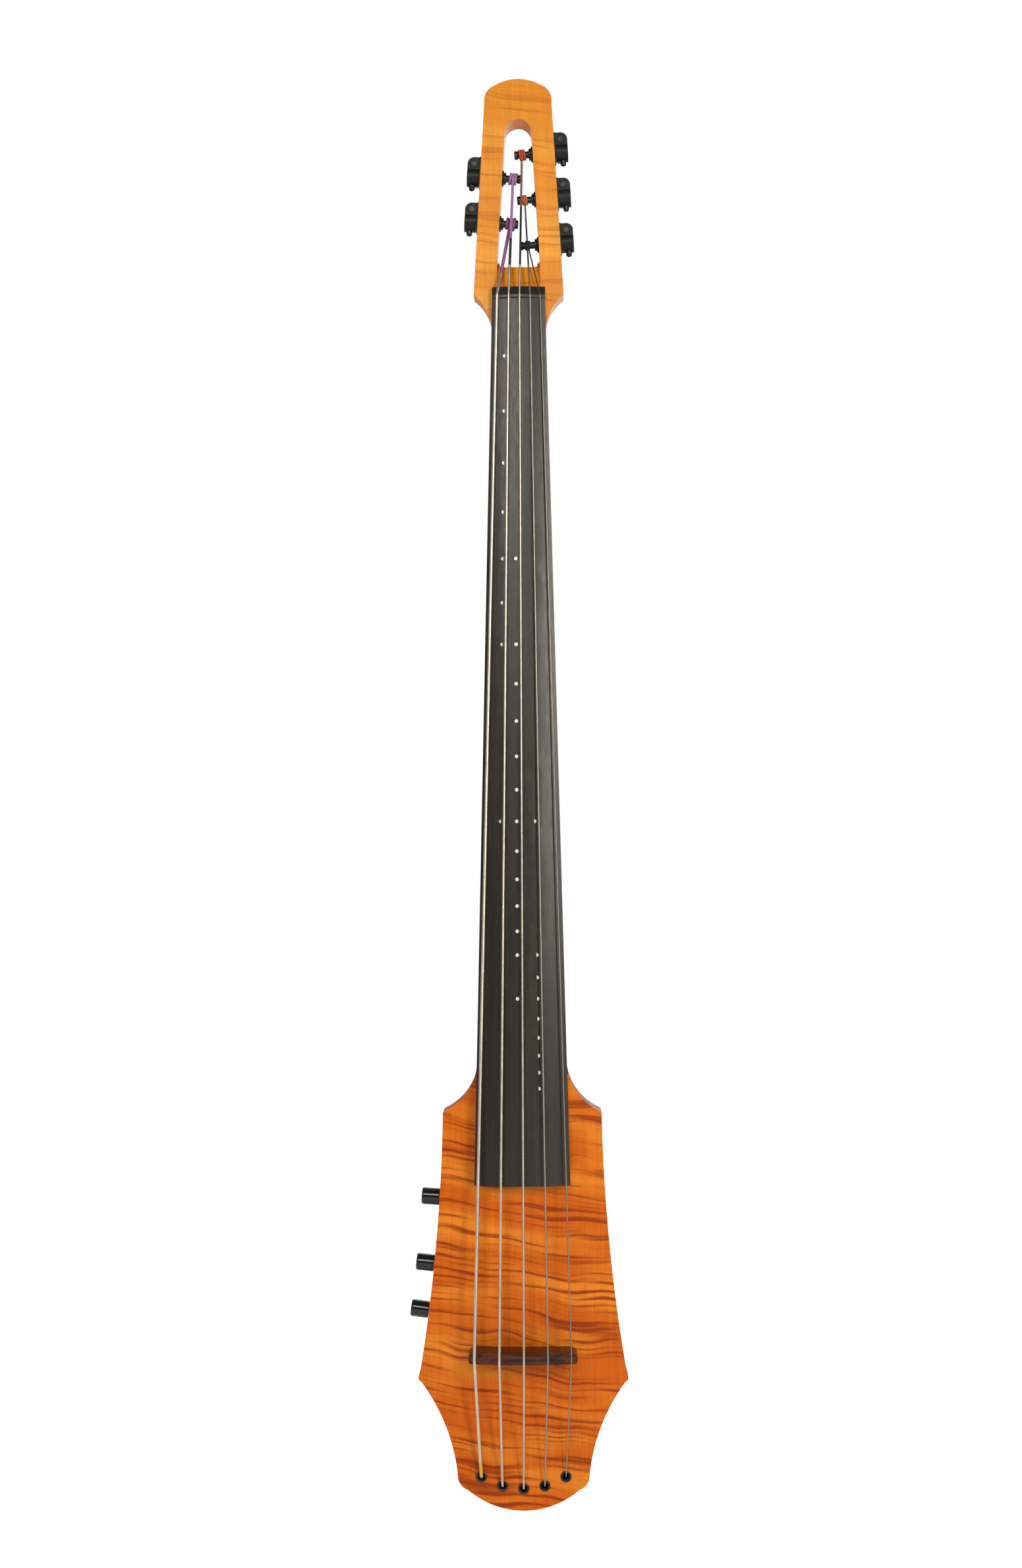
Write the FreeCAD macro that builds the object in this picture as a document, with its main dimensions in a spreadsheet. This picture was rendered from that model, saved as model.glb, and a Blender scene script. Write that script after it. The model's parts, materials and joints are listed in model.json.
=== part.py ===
import FreeCAD, Part
import os
from math import acos, asin, atan2, cos, degrees, pi, radians, sin, sqrt, tan

import Sketcher
from FreeCAD import Placement, Rotation, Vector

# A five-string solid-body upright bass, hung by the stand socket in its back.
# Frame: origin in the mouth of the stand socket, +Z up the neck, the strings face -Y, +X is the thin
# string's side.

doc = FreeCAD.newDocument("upright_bass")

# ---- driving sizes, in millimetres and degrees ----

SIZES = {
    # strings, from nut to bridge
    "string_length": 1067, "string_slope": 2.2, "string_height": 30, "socket_above_bridge": 115,
    "nut_spread": 43.8, "bridge_spread": 96, "nut_crown": 125, "bridge_crown": 147, "string_bend": 5,
    "string_over_ferrule": 4, "string_clear": 0.1, "string_seat": 0.3, "ball_radius": 3.4, "ball_long": 5,
    # solid body, half widths at each height above or below the socket
    "body_thick": 40, "body_arch": 450, "shoulder_half": 80, "shoulder_up": 125, "shoulder_round": 3,
    "flare_up": 178, "flare_round": 58, "side_round": 1780, "horn_half": 104.5, "horn_down": 142,
    "horn_round": 4,
    "tail_scoop": 176, "tail_half": 66, "tail_down": 237, "tail_corner": 14, "tail_round": 90.4,
    "flare_in": 3, "shoulder_cut": 2.2, "shoulder_rise": 1.4, "shoulder_drop": 2.5, "horn_rise": 3,
    "horn_cut": 1.8, "horn_drop": 3.8, "tail_share": 0.72, "heel_bevel": 12, "heel_bevel_long": 60,
    # neck and head
    "neck_slope": 1.5, "neck_deep": 17, "heel_deep": 28, "heel_long": 88, "heel_inset": 6, "glue_gap": 0.1,
    "head_step": 1, "head_thick": 28, "head_half": 46, "head_top_half": 34.6, "head_corner_up": 6.3,
    "head_side_up": 206, "head_crown_half": 24, "head_crown_up": 224, "head_long": 230.6, "head_corner": 17,
    "head_scoop": 54, "head_scoop_down": 36, "slot_up": 36.8, "slot_half": 21.9, "slot_top_half": 13.7,
    "slot_arch_up": 175.5, "slot_corner": 6, "ramp_deep": 9,
    # fingerboard, nut and dots
    "board_share": 0.84068, "board_long": "=string_length * board_share", "board_nut_half": 27,
    "board_end_half": 48, "board_edge": 5.5, "board_crown": 130,
    "nut_long": 12, "nut_lip": 1.6, "dot_radius": 1.8, "dot_deep": 1.5, "dot_sunk": 0.05,
    # truss rod
    "rod_share": 0.7404, "rod_long": "=string_length * rod_share", "rod_radius": 3,
    "rod_nut_radius": 5, "rod_nut_long": 14, "rod_gap": 0.3,
    # bridge and its studs
    "bridge_long": 109, "bridge_thick": 15, "bridge_top_thick": 10, "stud_radius": 3, "stud_reach": 38,
    "stud_in_bridge": 9, "stud_in_body": 18, "pickup_long": 60, "pickup_wide": 5, "pickup_high": 3,
    # string ferrules in the front and cups in the back
    "ferrule_pitch": 21.1, "ferrule_arc": 85, "ferrule_up": 22, "ferrule_radius": 5.6, "ferrule_lip": 1.2,
    "sleeve_radius": 4.2, "sleeve_long": 12, "sleeve_bore": 2.1, "cup_radius": 5.2, "cup_long": 11,
    # tuners
    "post_first": 63, "post_pitch": 47.4, "post_left_lift": 22.3, "post_radius": 3.6, "post_tip_radius": 4.4,
    "post_long": 41.5, "post_tip_long": 3, "bush_clear": 0.1, "winding_in": 33.5, "winding_turns": 2.2,
    "winding_gap": 0.3,
    "bush_radius": 5, "flange_radius": 8, "flange_thick": 2.2, "collar_radius": 6, "collar_long": 1.8,
    "running_fit": 0.05, "case_wall": 1.6, "case_gap": 0.4, "case_corner": 7, "case_rim": 0.8,
    "plate_thick": 1.5,
    "gear_teeth": 18, "gear_module": 0.8, "gear_wide": 3.6, "worm_pitch_radius": 4.2, "worm_turns": 5,
    "worm_tooth": 0.8, "wheel_gap": 1.6, "gear_flank": 20, "journal_radius": 2.5, "stem_long": 6.5,
    "button_long": 20, "button_high": 26, "button_thick": 6, "button_tail": 6, "button_screw": 1.3,
    "case_screw_in": 2.5, "wood_screw_radius": 1.3, "wood_screw_head": 2.5, "wood_screw_long": 12,
    # knobs and what they turn
    "knob_radius": 8.5, "knob_long": 18, "knob_gap": 0.6, "knob_edge": 2.2, "knob_hollow": 6.6,
    "knob_hollow_deep": 3.4, "knob_depth": 17, "knob_cap": 4, "pot_shaft_radius": 3, "pot_radius": 8.2,
    "pot_deep": 9, "pot_floor": 2.6, "pot_bush_radius": 3.75, "pot_nut_radius": 5.6, "pot_nut_thick": 2.2,
    "pot_nut_gap": 0.05, "pot_bush_above": 0.4, "pot_shaft_gap": 0.3,
    # rear cavity, its cover and what it holds
    "cavity_wall": 9, "cavity_top": 62, "cavity_bottom": 98, "cavity_inner": 30, "cavity_deep": 26,
    "cover_rim": 6, "cover_thick": 2, "cover_gap": 0.3, "battery_high": 48.5, "battery_wide": 26.5,
    "battery_thick": 17.5, "battery_low": 8, "circuit_wide": 28, "circuit_high": 56, "circuit_low": 92,
    "circuit_thick": 1.6, "circuit_post": 2, "chip_high": 3, "jack_in": 42, "jack_low": 12,
    "jack_bore": 3.225, "jack_radius": 5.5, "jack_long": 20, "jack_floor": 2, "jack_nut_radius": 7,
    "jack_nut_thick": 2,
    # stand plate
    "plate_half": 19, "plate_up": 38, "stand_plate_thick": 4, "socket_bore": 3.4, "socket_boss": 9,
    "socket_long": 14, "stand_screw_x": 13, "stand_screw_z": 30, "stand_screw_radius": 2,
    "stand_screw_head": 3.8, "stand_screw_long": 20,
}
STRING_DIAMETERS = (3.4, 2.7, 2.2, 1.7, 1.3)
KNOB_HEIGHTS = (38, -29, -76)
# Each string's tuner: the side of the head (-1 left, +1 right) and how many pitches up it.
TUNERS = ((-1, 0), (-1, 1), (1, 2), (1, 1), (1, 0))
# Rows of dots: the string beside them, how far to its left, and the semitones that they mark.
DOT_ROWS = (
    (1, 3.5, (1, 2, 3, 4, 5, 6, 7, 12)),
    (2, 4.9, (5, 7, 8, 9, 10, 11, 12, 13, 14, 15, 16, 17, 19)),
    (3, 4.3, (12, 17, 18, 19, 20, 21, 22, 23, 24)),
)

sheet = doc.addObject("Spreadsheet::Sheet", "sizes")
for row, (alias, number) in enumerate(SIZES.items(), start=1):
    sheet.set(f"A{row}", alias)
    sheet.set(f"B{row}", str(number))
    sheet.setAlias(f"B{row}", alias)
doc.recompute()


class Size:
    """A length with its present value and the expression that ties it to the sheet."""

    def __init__(self, value, text):
        self.value = float(value)
        self.text = text

    def joined(self, other, sign, value):
        return Size(value, f"({self.text} {sign} {other.text})")

    def __add__(self, other):
        other = plain(other)
        return self.joined(other, "+", self.value + other.value)

    def __sub__(self, other):
        other = plain(other)
        return self.joined(other, "-", self.value - other.value)

    def __mul__(self, other):
        other = plain(other)
        return self.joined(other, "*", self.value * other.value)

    def __truediv__(self, other):
        other = plain(other)
        return self.joined(other, "/", self.value / other.value)

    def __radd__(self, other):
        return plain(other) + self

    def __rsub__(self, other):
        return plain(other) - self

    def __rmul__(self, other):
        return plain(other) * self

    def __neg__(self):
        return Size(-self.value, f"(0 - {self.text})")


def plain(number):
    return number if isinstance(number, Size) else Size(number, repr(float(number)))


def of(alias):
    return Size(float(sheet.get(alias)), f"sizes.{alias}")


def val(alias):
    return of(alias).value


# ---- ways of making a piece ----

def own(thing, label):
    """The piece's object, under the name that its file and node have."""
    thing.Label = label
    return thing


def primitive(kind, name, **sizes):
    """A Part primitive with each size tied to the sheet."""
    thing = doc.addObject(f"Part::{kind}", name)
    for key, size in sizes.items():
        thing.setExpression(key, plain(size).text)
    return thing


def at(thing, x=0.0, y=0.0, z=0.0, turn=None, frame=None):
    """Puts an object at a point of a frame, turned about it."""
    here = Placement(Vector(x, y, z), turn or Rotation())
    thing.Placement = frame.multiply(here) if frame else here
    return thing


def block(name, x, y, z, frame=None):
    """A box between three pairs of sizes."""
    low = [plain(pair[0]) for pair in (x, y, z)]
    span = [plain(pair[1]) - plain(pair[0]) for pair in (x, y, z)]
    box = primitive("Box", name, Length=span[0], Width=span[1], Height=span[2])
    return at(box, *(size.value for size in low), frame=frame)


def cut(name, base, *tools):
    """The base with the tools taken away."""
    thing = doc.addObject("Part::Cut", name)
    thing.Base = base
    thing.Tool = tools[0] if len(tools) == 1 else gather(name + "_tools", *tools)
    return thing


def gather(name, *things):
    """Several separate solids kept together."""
    thing = doc.addObject("Part::Compound", name)
    thing.Links = list(things)
    return thing


def fuse(name, *things):
    thing = doc.addObject("Part::MultiFuse", name)
    thing.Shapes = list(things)
    return thing


def origin_plane(body, role):
    return next(feature for feature in body.Origin.OriginFeatures if feature.Role == role)


def outline(body, name, role, corners, rounds=None, lift=0):
    """A closed sketch through the corners. rounds gives an edge its radius: plus bulges right of travel."""
    rounds = rounds or {}
    sketch = body.newObject("Sketcher::SketchObject", name)
    sketch.AttachmentSupport = [(origin_plane(body, role), "")]
    sketch.MapMode = "FlatFace"
    if lift:
        sketch.setExpression("AttachmentOffset.Base.z", plain(lift).text)
    points = [(plain(x), plain(y)) for x, y in corners]
    count = len(points)
    for edge in range(count):
        (x1, y1), (x2, y2) = points[edge], points[(edge + 1) % count]
        start, end = Vector(x1.value, y1.value, 0), Vector(x2.value, y2.value, 0)
        if edge in rounds:
            radius = plain(rounds[edge]).value
            run = end - start
            reach = abs(radius)
            rise = reach - sqrt(max(reach ** 2 - run.Length ** 2 / 4, 0))
            side = Vector(run.y, -run.x, 0).normalize() * (rise if radius > 0 else -rise)
            sketch.addGeometry(Part.Arc(start, (start + end) * 0.5 + side, end), False)
        else:
            sketch.addGeometry(Part.LineSegment(start, end), False)
    ends = [arc_ends(sketch, edge, points) if edge in rounds else (1, 2) for edge in range(count)]
    for edge in range(count):
        after = (edge + 1) % count
        sketch.addConstraint(Sketcher.Constraint("Coincident", edge, ends[edge][1], after, ends[after][0]))
    for edge, (x, y) in enumerate(points):
        for way, size in (("DistanceX", x), ("DistanceY", y)):
            number = sketch.addConstraint(Sketcher.Constraint(way, -1, 1, edge, ends[edge][0], size.value))
            sketch.setExpression(f"Constraints[{number}]", size.text)
    for edge, radius in rounds.items():
        radius = plain(radius)
        number = sketch.addConstraint(Sketcher.Constraint("Radius", edge, abs(radius.value)))
        sketch.setExpression(f"Constraints[{number}]", f"abs({radius.text})")
    return sketch


def arc_ends(sketch, edge, points):
    """Which end of an arc is its start: an arc always runs anticlockwise in its sketch."""
    x, y = points[edge]
    near = sketch.getPoint(edge, 1).distanceToPoint(Vector(x.value, y.value, 0))
    return (1, 2) if near < 1e-6 else (2, 1)


def new_body(name):
    return doc.addObject("PartDesign::Body", name)


def padded(name, role, corners, length, rounds=None, lift=0, backwards=False):
    """A body padded from one outline."""
    body = new_body(name)
    sketch = outline(body, name + "_outline", role, corners, rounds, lift)
    pad = body.newObject("PartDesign::Pad", name + "_pad")
    pad.Profile = sketch
    pad.setExpression("Length", plain(length).text)
    pad.Reversed = backwards
    return body


def turned(name, profile, rounds=None):
    """A body turned about its own Z from half a section of (radius, height) corners."""
    body = new_body(name)
    sketch = outline(body, name + "_section", "XZ_Plane", profile, rounds)
    spin = body.newObject("PartDesign::Revolution", name + "_turned")
    spin.Profile = sketch
    spin.ReferenceAxis = (sketch, ["V_Axis"])
    spin.Angle = 360
    return body


def tube_along(points, bend, radius):
    """A round tube along straight runs, each pair joined by an arc that touches both."""
    edges, start = [], points[0]
    for before, corner, after in zip(points, points[1:], points[2:]):
        back, ahead = (before - corner).normalize(), (after - corner).normalize()
        half = acos(max(-1.0, min(1.0, back.dot(ahead)))) / 2
        reach = bend / tan(half)
        first, last = corner + back * reach, corner + ahead * reach
        middle = corner + (back + ahead).normalize() * (bend / sin(half) - bend)
        edges += [Part.LineSegment(start, first).toShape(), Part.Arc(first, middle, last).toShape()]
        start = last
    edges.append(Part.LineSegment(start, points[-1]).toShape())
    ring = Part.Wire([Part.makeCircle(radius, points[0], points[1] - points[0])])
    tube = Part.Wire(edges).makePipeShell([ring], True, False)
    return tube if tube.Volume > 0 else tube.reversed()


TO_RIGHT = Rotation(Vector(0, 1, 0), 90)      # a piece's own Z turned to +X
TO_LEFT = Rotation(Vector(0, 1, 0), -90)
TO_BACK = Rotation(Vector(1, 0, 0), -90)      # to +Y
TO_FRONT = Rotation(Vector(1, 0, 0), 90)      # to -Y

# ---- the lines that everything is laid out on ----

body_crown_y = -val("body_thick")
bridge_z = -val("socket_above_bridge")
bridge_top_y = body_crown_y - val("string_height")
slope = radians(val("string_slope"))
nut_z = bridge_z + val("string_length") * cos(slope)
nut_top_y = bridge_top_y + val("string_length") * sin(slope)


def sag(radius, x):
    """How far an arc of this radius has fallen away at x from its top."""
    return radius - sqrt(radius ** 2 - x ** 2)


# The glue face of the neck and fingerboard: Z runs up it from the nut's playing edge and the strings are at
# -Y.
board_nut_rise = of("board_edge") + sag(val("board_crown"), val("board_nut_half"))
glue = Placement(
    Vector(0, nut_top_y + val("nut_lip") + board_nut_rise.value, nut_z),
    Rotation(Vector(1, 0, 0), -val("neck_slope")),
)


def front_at(x):
    """The body's arched front at x."""
    return body_crown_y + sag(val("body_arch"), x)


def string_places(spread):
    """The strings' x, with the same clear gap between neighbours."""
    gaps = [(a + b) / 2 for a, b in zip(STRING_DIAMETERS, STRING_DIAMETERS[1:])]
    clear = (spread - sum(gaps)) / len(gaps)
    places = [-spread / 2]
    for gap in gaps:
        places.append(places[-1] + gap + clear)
    return places


nut_places = string_places(val("nut_spread"))
bridge_places = string_places(val("bridge_spread"))

# ---- body ----
# One block of flamed maple with an arched front: concave shoulders, waisted sides out to two horns, then a
# narrow
# tail with a rounded end.

tail_in = of("tail_half") - of("tail_corner") * of("tail_share")
body_down = val("tail_down") + val("tail_corner") + sag(val("tail_round"), tail_in.value)
half_outline = [
    (of("board_end_half") - of("flare_in"), of("flare_up")),
    (of("shoulder_half") - of("shoulder_cut"), of("shoulder_up") + of("shoulder_rise")),
    (of("shoulder_half"), of("shoulder_up") - of("shoulder_drop")),
    (of("horn_half"), of("horn_rise") - of("horn_down")),
    (of("horn_half") - of("horn_cut"), -of("horn_down") - of("horn_drop")),
    (of("tail_half"), -of("tail_down")),
    (tail_in, -of("tail_down") - of("tail_corner")),
]
half_rounds = [
    of("flare_round"), -of("shoulder_round"), of("side_round"), -of("horn_round"), of("tail_scoop"),
    -of("tail_corner"),
]
full_outline = half_outline + [(-x, z) for x, z in reversed(half_outline)]
full_rounds = dict(enumerate(half_rounds + [-of("tail_round")] + half_rounds[::-1]))
body_block = padded("body_block", "XZ_Plane", full_outline, of("body_thick"), full_rounds)
arch = primitive("Cylinder", "front_arch", Radius=of("body_arch"), Height=of("flare_up") + body_down + 2)
at(arch, y=val("body_arch") - val("body_thick"), z=-body_down - 1)
arched = doc.addObject("Part::Common", "arched_body")
arched.Base, arched.Tool = body_block, arch
heel_bevel = padded(
    "heel_bevel_tool", "YZ_Plane",
    [(1, of("flare_up") + 1), (-of("heel_bevel"), of("flare_up") + 1), (1,
        of("flare_up") - of("heel_bevel_long"))],
    of("board_end_half") * 4, lift=-of("board_end_half") * 2,
)


def side_half(z):
    """Half the body's width at a height, and the lean of its side there in degrees."""
    low = Vector(val("horn_half"), val("horn_rise") - val("horn_down"), 0)
    top = Vector(val("shoulder_half"), val("shoulder_up") - val("shoulder_drop"), 0)
    run, radius = top - low, val("side_round")
    out = Vector(run.y, -run.x, 0).normalize()
    centre = (low + top) * 0.5 + out * sqrt(radius ** 2 - run.Length ** 2 / 4)
    lean = asin((centre.y - z) / radius)
    return centre.x - radius * cos(lean), degrees(lean)


# ---- neck and head ----
# One piece of maple: a slotted head with a ramp below the slot, a D-section neck as wide as the
# fingerboard, and a
# heel block glued into the body's pocket.

neck_long = (nut_z - val("flare_up")) / cos(radians(val("neck_slope")))


def board_half(down):
    """Half the fingerboard's width at a distance below the nut."""
    return of("board_nut_half") + (of("board_end_half") - of("board_nut_half")) / of("board_long") * down


def lofted(name, near, far):
    """A body lofted between two sketches."""
    loft = near.getParentGeoFeatureGroup().newObject("PartDesign::AdditiveLoft", name)
    loft.Profile = near
    loft.Sections = [far]
    loft.Ruled = True
    return loft


def neck_section(down, deep):
    half, rise = board_half(down), deep - of("board_edge")
    corners = [(-half, 0), (half, 0), (half, of("board_edge")), (-half, of("board_edge"))]
    back = (half * half + rise * rise) / (rise * 2)
    return outline(neck_shaft, f"neck_section_{len(neck_shaft.Group)}", "XY_Plane", corners, {2: back},
                   -plain(down))


neck_shaft = new_body("neck_shaft")
lofted("neck_loft", neck_section(0, of("neck_deep")), neck_section(neck_long, of("heel_deep")))
at(neck_shaft, frame=glue)
heel_half = board_half(neck_long) - of("heel_inset")
heel = block("heel_block", (-heel_half, heel_half), (0, of("heel_deep")),
             (-neck_long - of("heel_long"), -neck_long + 1), glue)
pocket = block("heel_pocket", (-heel_half - of("glue_gap"), heel_half + of("glue_gap")),
               (-of("body_thick"), of("heel_deep") + of("glue_gap")),
               (-neck_long - of("heel_long") - of("glue_gap"), -neck_long + 20), glue)
neck_end = block("neck_end_tool", (-of("board_end_half"), of("board_end_half")),
                 (-of("body_thick"), of("heel_deep") + of("glue_gap")),
                 (-neck_long - of("glue_gap"), -neck_long + 20), glue)

head_rise = of("head_long") - of("head_crown_up")
head_crown = of("head_crown_half")
head_side = [
    (board_half(0) + 0.3, -of("head_scoop_down")), (of("head_half"), of("head_corner_up")),
    (of("head_top_half"), of("head_side_up")), (head_crown, of("head_crown_up")),
]
head_block = padded(
    "head_block", "XZ_Plane", head_side + [(-x, z) for x, z in reversed(head_side)], of("head_thick"),
    {0: -of("head_scoop"), 2: of("head_corner"),
     3: (head_crown * head_crown + head_rise * head_rise) / (head_rise * 2),
     4: of("head_corner"), 6: -of("head_scoop")},
    lift=-of("head_step"), backwards=True,
)
at(head_block, frame=glue)
slot_low, slot_top = of("slot_half"), of("slot_top_half")
slot_side = [(slot_low - of("slot_corner"), of("slot_up")), (slot_low, of("slot_up") + of("slot_corner")),
             (slot_top, of("slot_arch_up"))]
head_slot = padded(
    "head_slot", "XZ_Plane", slot_side + [(-x, z) for x, z in reversed(slot_side)], of("head_thick") * 2,
    {0: of("slot_corner"), 2: slot_top * 1.001, 4: of("slot_corner")}, lift=-of("head_thick") * 1.5,
)
at(head_slot, frame=glue)
ramp = padded(
    "head_ramp", "YZ_Plane",
    [(-2, of("nut_long")), (0, of("nut_long")), (of("ramp_deep"), of("slot_up") + 1), (-2,
        of("slot_up") + 1)],
    slot_low * 2, lift=-slot_low,
)
at(ramp, frame=glue)
back_slope = padded(
    "head_back_slope", "YZ_Plane",
    [(of("head_thick") + 2, -of("head_scoop_down") - 1), (of("neck_deep") - 6, -of("head_scoop_down") - 1),
     (of("head_thick") + 2, of("head_scoop_down") / 2)],
    of("head_half") * 3, lift=-of("head_half") * 1.5,
)
at(back_slope, frame=glue)
sloped_head = cut("sloped_head", head_block, back_slope)

# ---- truss rod ----
# A steel rod in a channel under the fingerboard, with its adjusting nut at the heel end.

rod_y = of("rod_nut_radius") + of("rod_gap")
rod_start = -of("head_scoop_down")
rod = primitive("Cylinder", "rod", Radius=of("rod_radius"), Height=of("rod_long"))
at(rod, y=rod_y.value, z=rod_start.value - val("rod_long"), frame=glue)
rod_nut = primitive("Prism", "rod_nut", Polygon=6, Circumradius=of("rod_nut_radius"),
                    Height=of("rod_nut_long"))
at(rod_nut, y=rod_y.value, z=(rod_start - of("rod_long") - of("rod_nut_long")).value, frame=glue)
own(fuse("rod_and_nut", rod, rod_nut), "truss_rod")
channel = block("rod_channel", (-of("rod_radius") - of("rod_gap"), of("rod_radius") + of("rod_gap")),
                (-1, rod_y + of("rod_radius") + of("rod_gap")),
                (rod_start - of("rod_long"), rod_start + of("rod_gap")), glue)
nut_room = block("rod_nut_room", (-of("rod_nut_radius") - of("rod_gap"),
                                  of("rod_nut_radius") + of("rod_gap")),
                 (-1, rod_y + of("rod_nut_radius") + of("rod_gap")),
                 (rod_start - of("rod_long") - of("rod_nut_long") - of("rod_gap"),
                  rod_start - of("rod_long")), glue)

# ---- fingerboard, nut and dots ----
# Ebony, crowned across and wider towards the body, glued to the neck and free over the body at its end.


def board_section(down):
    half = board_half(down)
    corners = [(-half, 0), (half, 0), (half, -of("board_edge")), (-half, -of("board_edge"))]
    name = f"board_section_{len(board_body.Group)}"
    return outline(board_body, name, "XY_Plane", corners, {2: -of("board_crown")}, -plain(down))


def board_front(x, down):
    """The playing surface's height above the glue face."""
    share = down / val("board_long")
    u = x / board_half(down).value
    rises = [val("board_edge") + sag(val("board_crown"), half) - sag(val("board_crown"), u * half)
             for half in (val("board_nut_half"), val("board_end_half"))]
    return rises[0] * (1 - share) + rises[1] * share


board_body = new_body("board_body")
lofted("board_loft", board_section(0), board_section(of("board_long")))
at(board_body, frame=glue)
nut_edge = board_nut_rise + of("nut_lip") - sag(val("nut_crown"), val("board_nut_half"))
nut_block = padded(
    "nut_block", "XY_Plane",
    [(-of("board_nut_half"), 0), (of("board_nut_half"), 0), (of("board_nut_half"), -nut_edge),
     (-of("board_nut_half"), -nut_edge)], of("nut_long"), {2: -of("nut_crown")},
)
at(nut_block, frame=glue)
nut_seat = block("nut_seat", (-of("head_half"), of("head_half")), (-of("body_thick"), 0), (0,
    of("nut_long")), glue)
dots = []
for beside, offset, semitones in DOT_ROWS:
    for semitone in semitones:
        share = 1 - 2 ** (-semitone / 12)
        x = nut_places[beside] + (bridge_places[beside] - nut_places[beside]) * share - offset
        down = val("string_length") * share
        dot = primitive("Cylinder", f"dot_{len(dots) + 1}", Radius=of("dot_radius"), Height=of("dot_deep"))
        at(dot, x, val("dot_deep") - board_front(x, down) - val("dot_sunk"), -down, TO_FRONT, glue)
        dots.append(dot)
own(gather("dots", *dots), "position_dots")
own(cut("dotted_board", board_body, *dots), "fingerboard")

# ---- tuners ----
# A worm in each sealed case turns a wheel on the string post, which runs through the head's wall in a bush.

head_lean = degrees(atan2(val("head_half") - val("head_top_half"),
                          val("head_side_up") - val("head_corner_up")))
slot_rise = val("slot_arch_up") - val("slot_up") - val("slot_corner")
slot_lean = (val("slot_half") - val("slot_top_half")) / slot_rise
wheel_pitch = of("gear_module") * of("gear_teeth") / 2
wheel_tip, wheel_root = wheel_pitch + of("gear_module"), wheel_pitch - of("gear_module") * 1.25
worm_tip = of("worm_pitch_radius") + of("gear_module")
worm_root = of("worm_pitch_radius") - of("gear_module") * 1.25
worm_up = wheel_pitch + of("worm_pitch_radius")
lead = of("gear_module") * pi
worm_half = lead * of("worm_turns") / 2
room_deep = (worm_tip + of("case_gap")) * 2
worm_out = of("plate_thick") + worm_tip + of("case_gap")
case_out = of("plate_thick") + room_deep + of("case_wall")
case_half = worm_half + of("case_gap") + of("case_wall")
case_round = wheel_tip + of("case_gap") + of("case_wall")
case_top = worm_up + worm_tip + of("case_gap") + of("case_wall")
flank = tan(radians(val("gear_flank")))
screw_in = of("case_screw_in")
mid_head = val("head_step") + val("head_thick") / 2


def tuner_frame(side, pitches):
    """On the head's side at the post's axis: X across the head, Z up the side."""
    up = val("post_first") + val("post_pitch") * pitches + (val("post_left_lift") if side < 0 else 0)
    across = val("head_half") - (up - val("head_corner_up")) * tan(radians(head_lean))
    inner = val("slot_half") - (up - val("slot_up") - val("slot_corner")) * slot_lean
    wall = (across - inner) * cos(radians(head_lean))
    here = Placement(Vector(side * across, mid_head, up), Rotation(Vector(0, 1, 0), -side * head_lean))
    return glue.multiply(here), wall


def worm(name):
    """A shaft with a helical thread, its axis on Z and the thread's middle at 0."""
    turns, pitch_radius, half = val("worm_turns"), val("worm_pitch_radius"), val("worm_tooth") / 2
    low, high = worm_root.value - 0.1, worm_tip.value
    foot, tip = half + (pitch_radius - low) * flank, half - (high - pitch_radius) * flank
    start = -worm_half.value
    tooth = Part.makePolygon([Vector(low, 0, start - foot), Vector(high, 0, start - tip), Vector(high, 0,
        start + tip),
                              Vector(low, 0, start + foot), Vector(low, 0, start - foot)])
    helix = Part.makeHelix(lead.value, lead.value * turns, low)
    helix.translate(Vector(0, 0, start))
    thread = Part.Wire(helix.Edges).makePipeShell([tooth], True, True)
    ends = worm_half.value + 0.2
    shaft = Part.makeCylinder(worm_root.value, ends * 2, Vector(0, 0, -ends))
    front = case_half.value + val("case_rim")
    back = case_half.value + val("stem_long") + val("button_long") - val("button_tail")
    journal = Part.makeCylinder(val("journal_radius"), front + back, Vector(0, 0, -front))
    inside = Part.makeCylinder(worm_tip.value + 1, ends * 2, Vector(0, 0, -ends))
    thing = doc.addObject("Part::Feature", name)
    thing.Shape = shaft.fuse([thread.common(inside), journal]).removeSplitter()
    return thing


def button(name):
    """An oval paddle on the worm's stem, with a screw in its end."""
    high, long, thick = of("button_high"), of("button_long"), of("button_thick")
    reach = case_half + of("stem_long")
    swell = high * 0.62
    paddle = padded(
        name + "_paddle", "YZ_Plane",
        [(reach, -high * 0.16), (reach + long * 0.34, -high / 2), (reach + long * 0.8, -high * 0.46),
         (reach + long, -high * 0.2), (reach + long, high * 0.2), (reach + long * 0.8, high * 0.46),
         (reach + long * 0.34, high / 2), (reach, high * 0.16)],
        thick, {0: -swell, 2: long * 0.55, 3: high * 1.2, 4: long * 0.55, 6: -swell}, lift=-thick / 2,
    )
    stem = primitive("Cylinder", name + "_bore", Radius=of("journal_radius"), Height=long - of("button_tail"))
    at(stem, y=reach.value, turn=TO_BACK)
    screw = turned(name + "_screw", [(0, 0), (of("button_screw"), 0), (of("button_screw"), of("button_tail")),
                                     (of("journal_radius"), of("button_tail")),
                                     (of("journal_radius"), of("button_tail") + 1), (0,
                                         of("button_tail") + 1)])
    at(screw, y=(reach + long - of("button_tail")).value, turn=TO_BACK)
    return gather(name, cut(name + "_drilled", paddle, stem, screw), screw)


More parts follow.
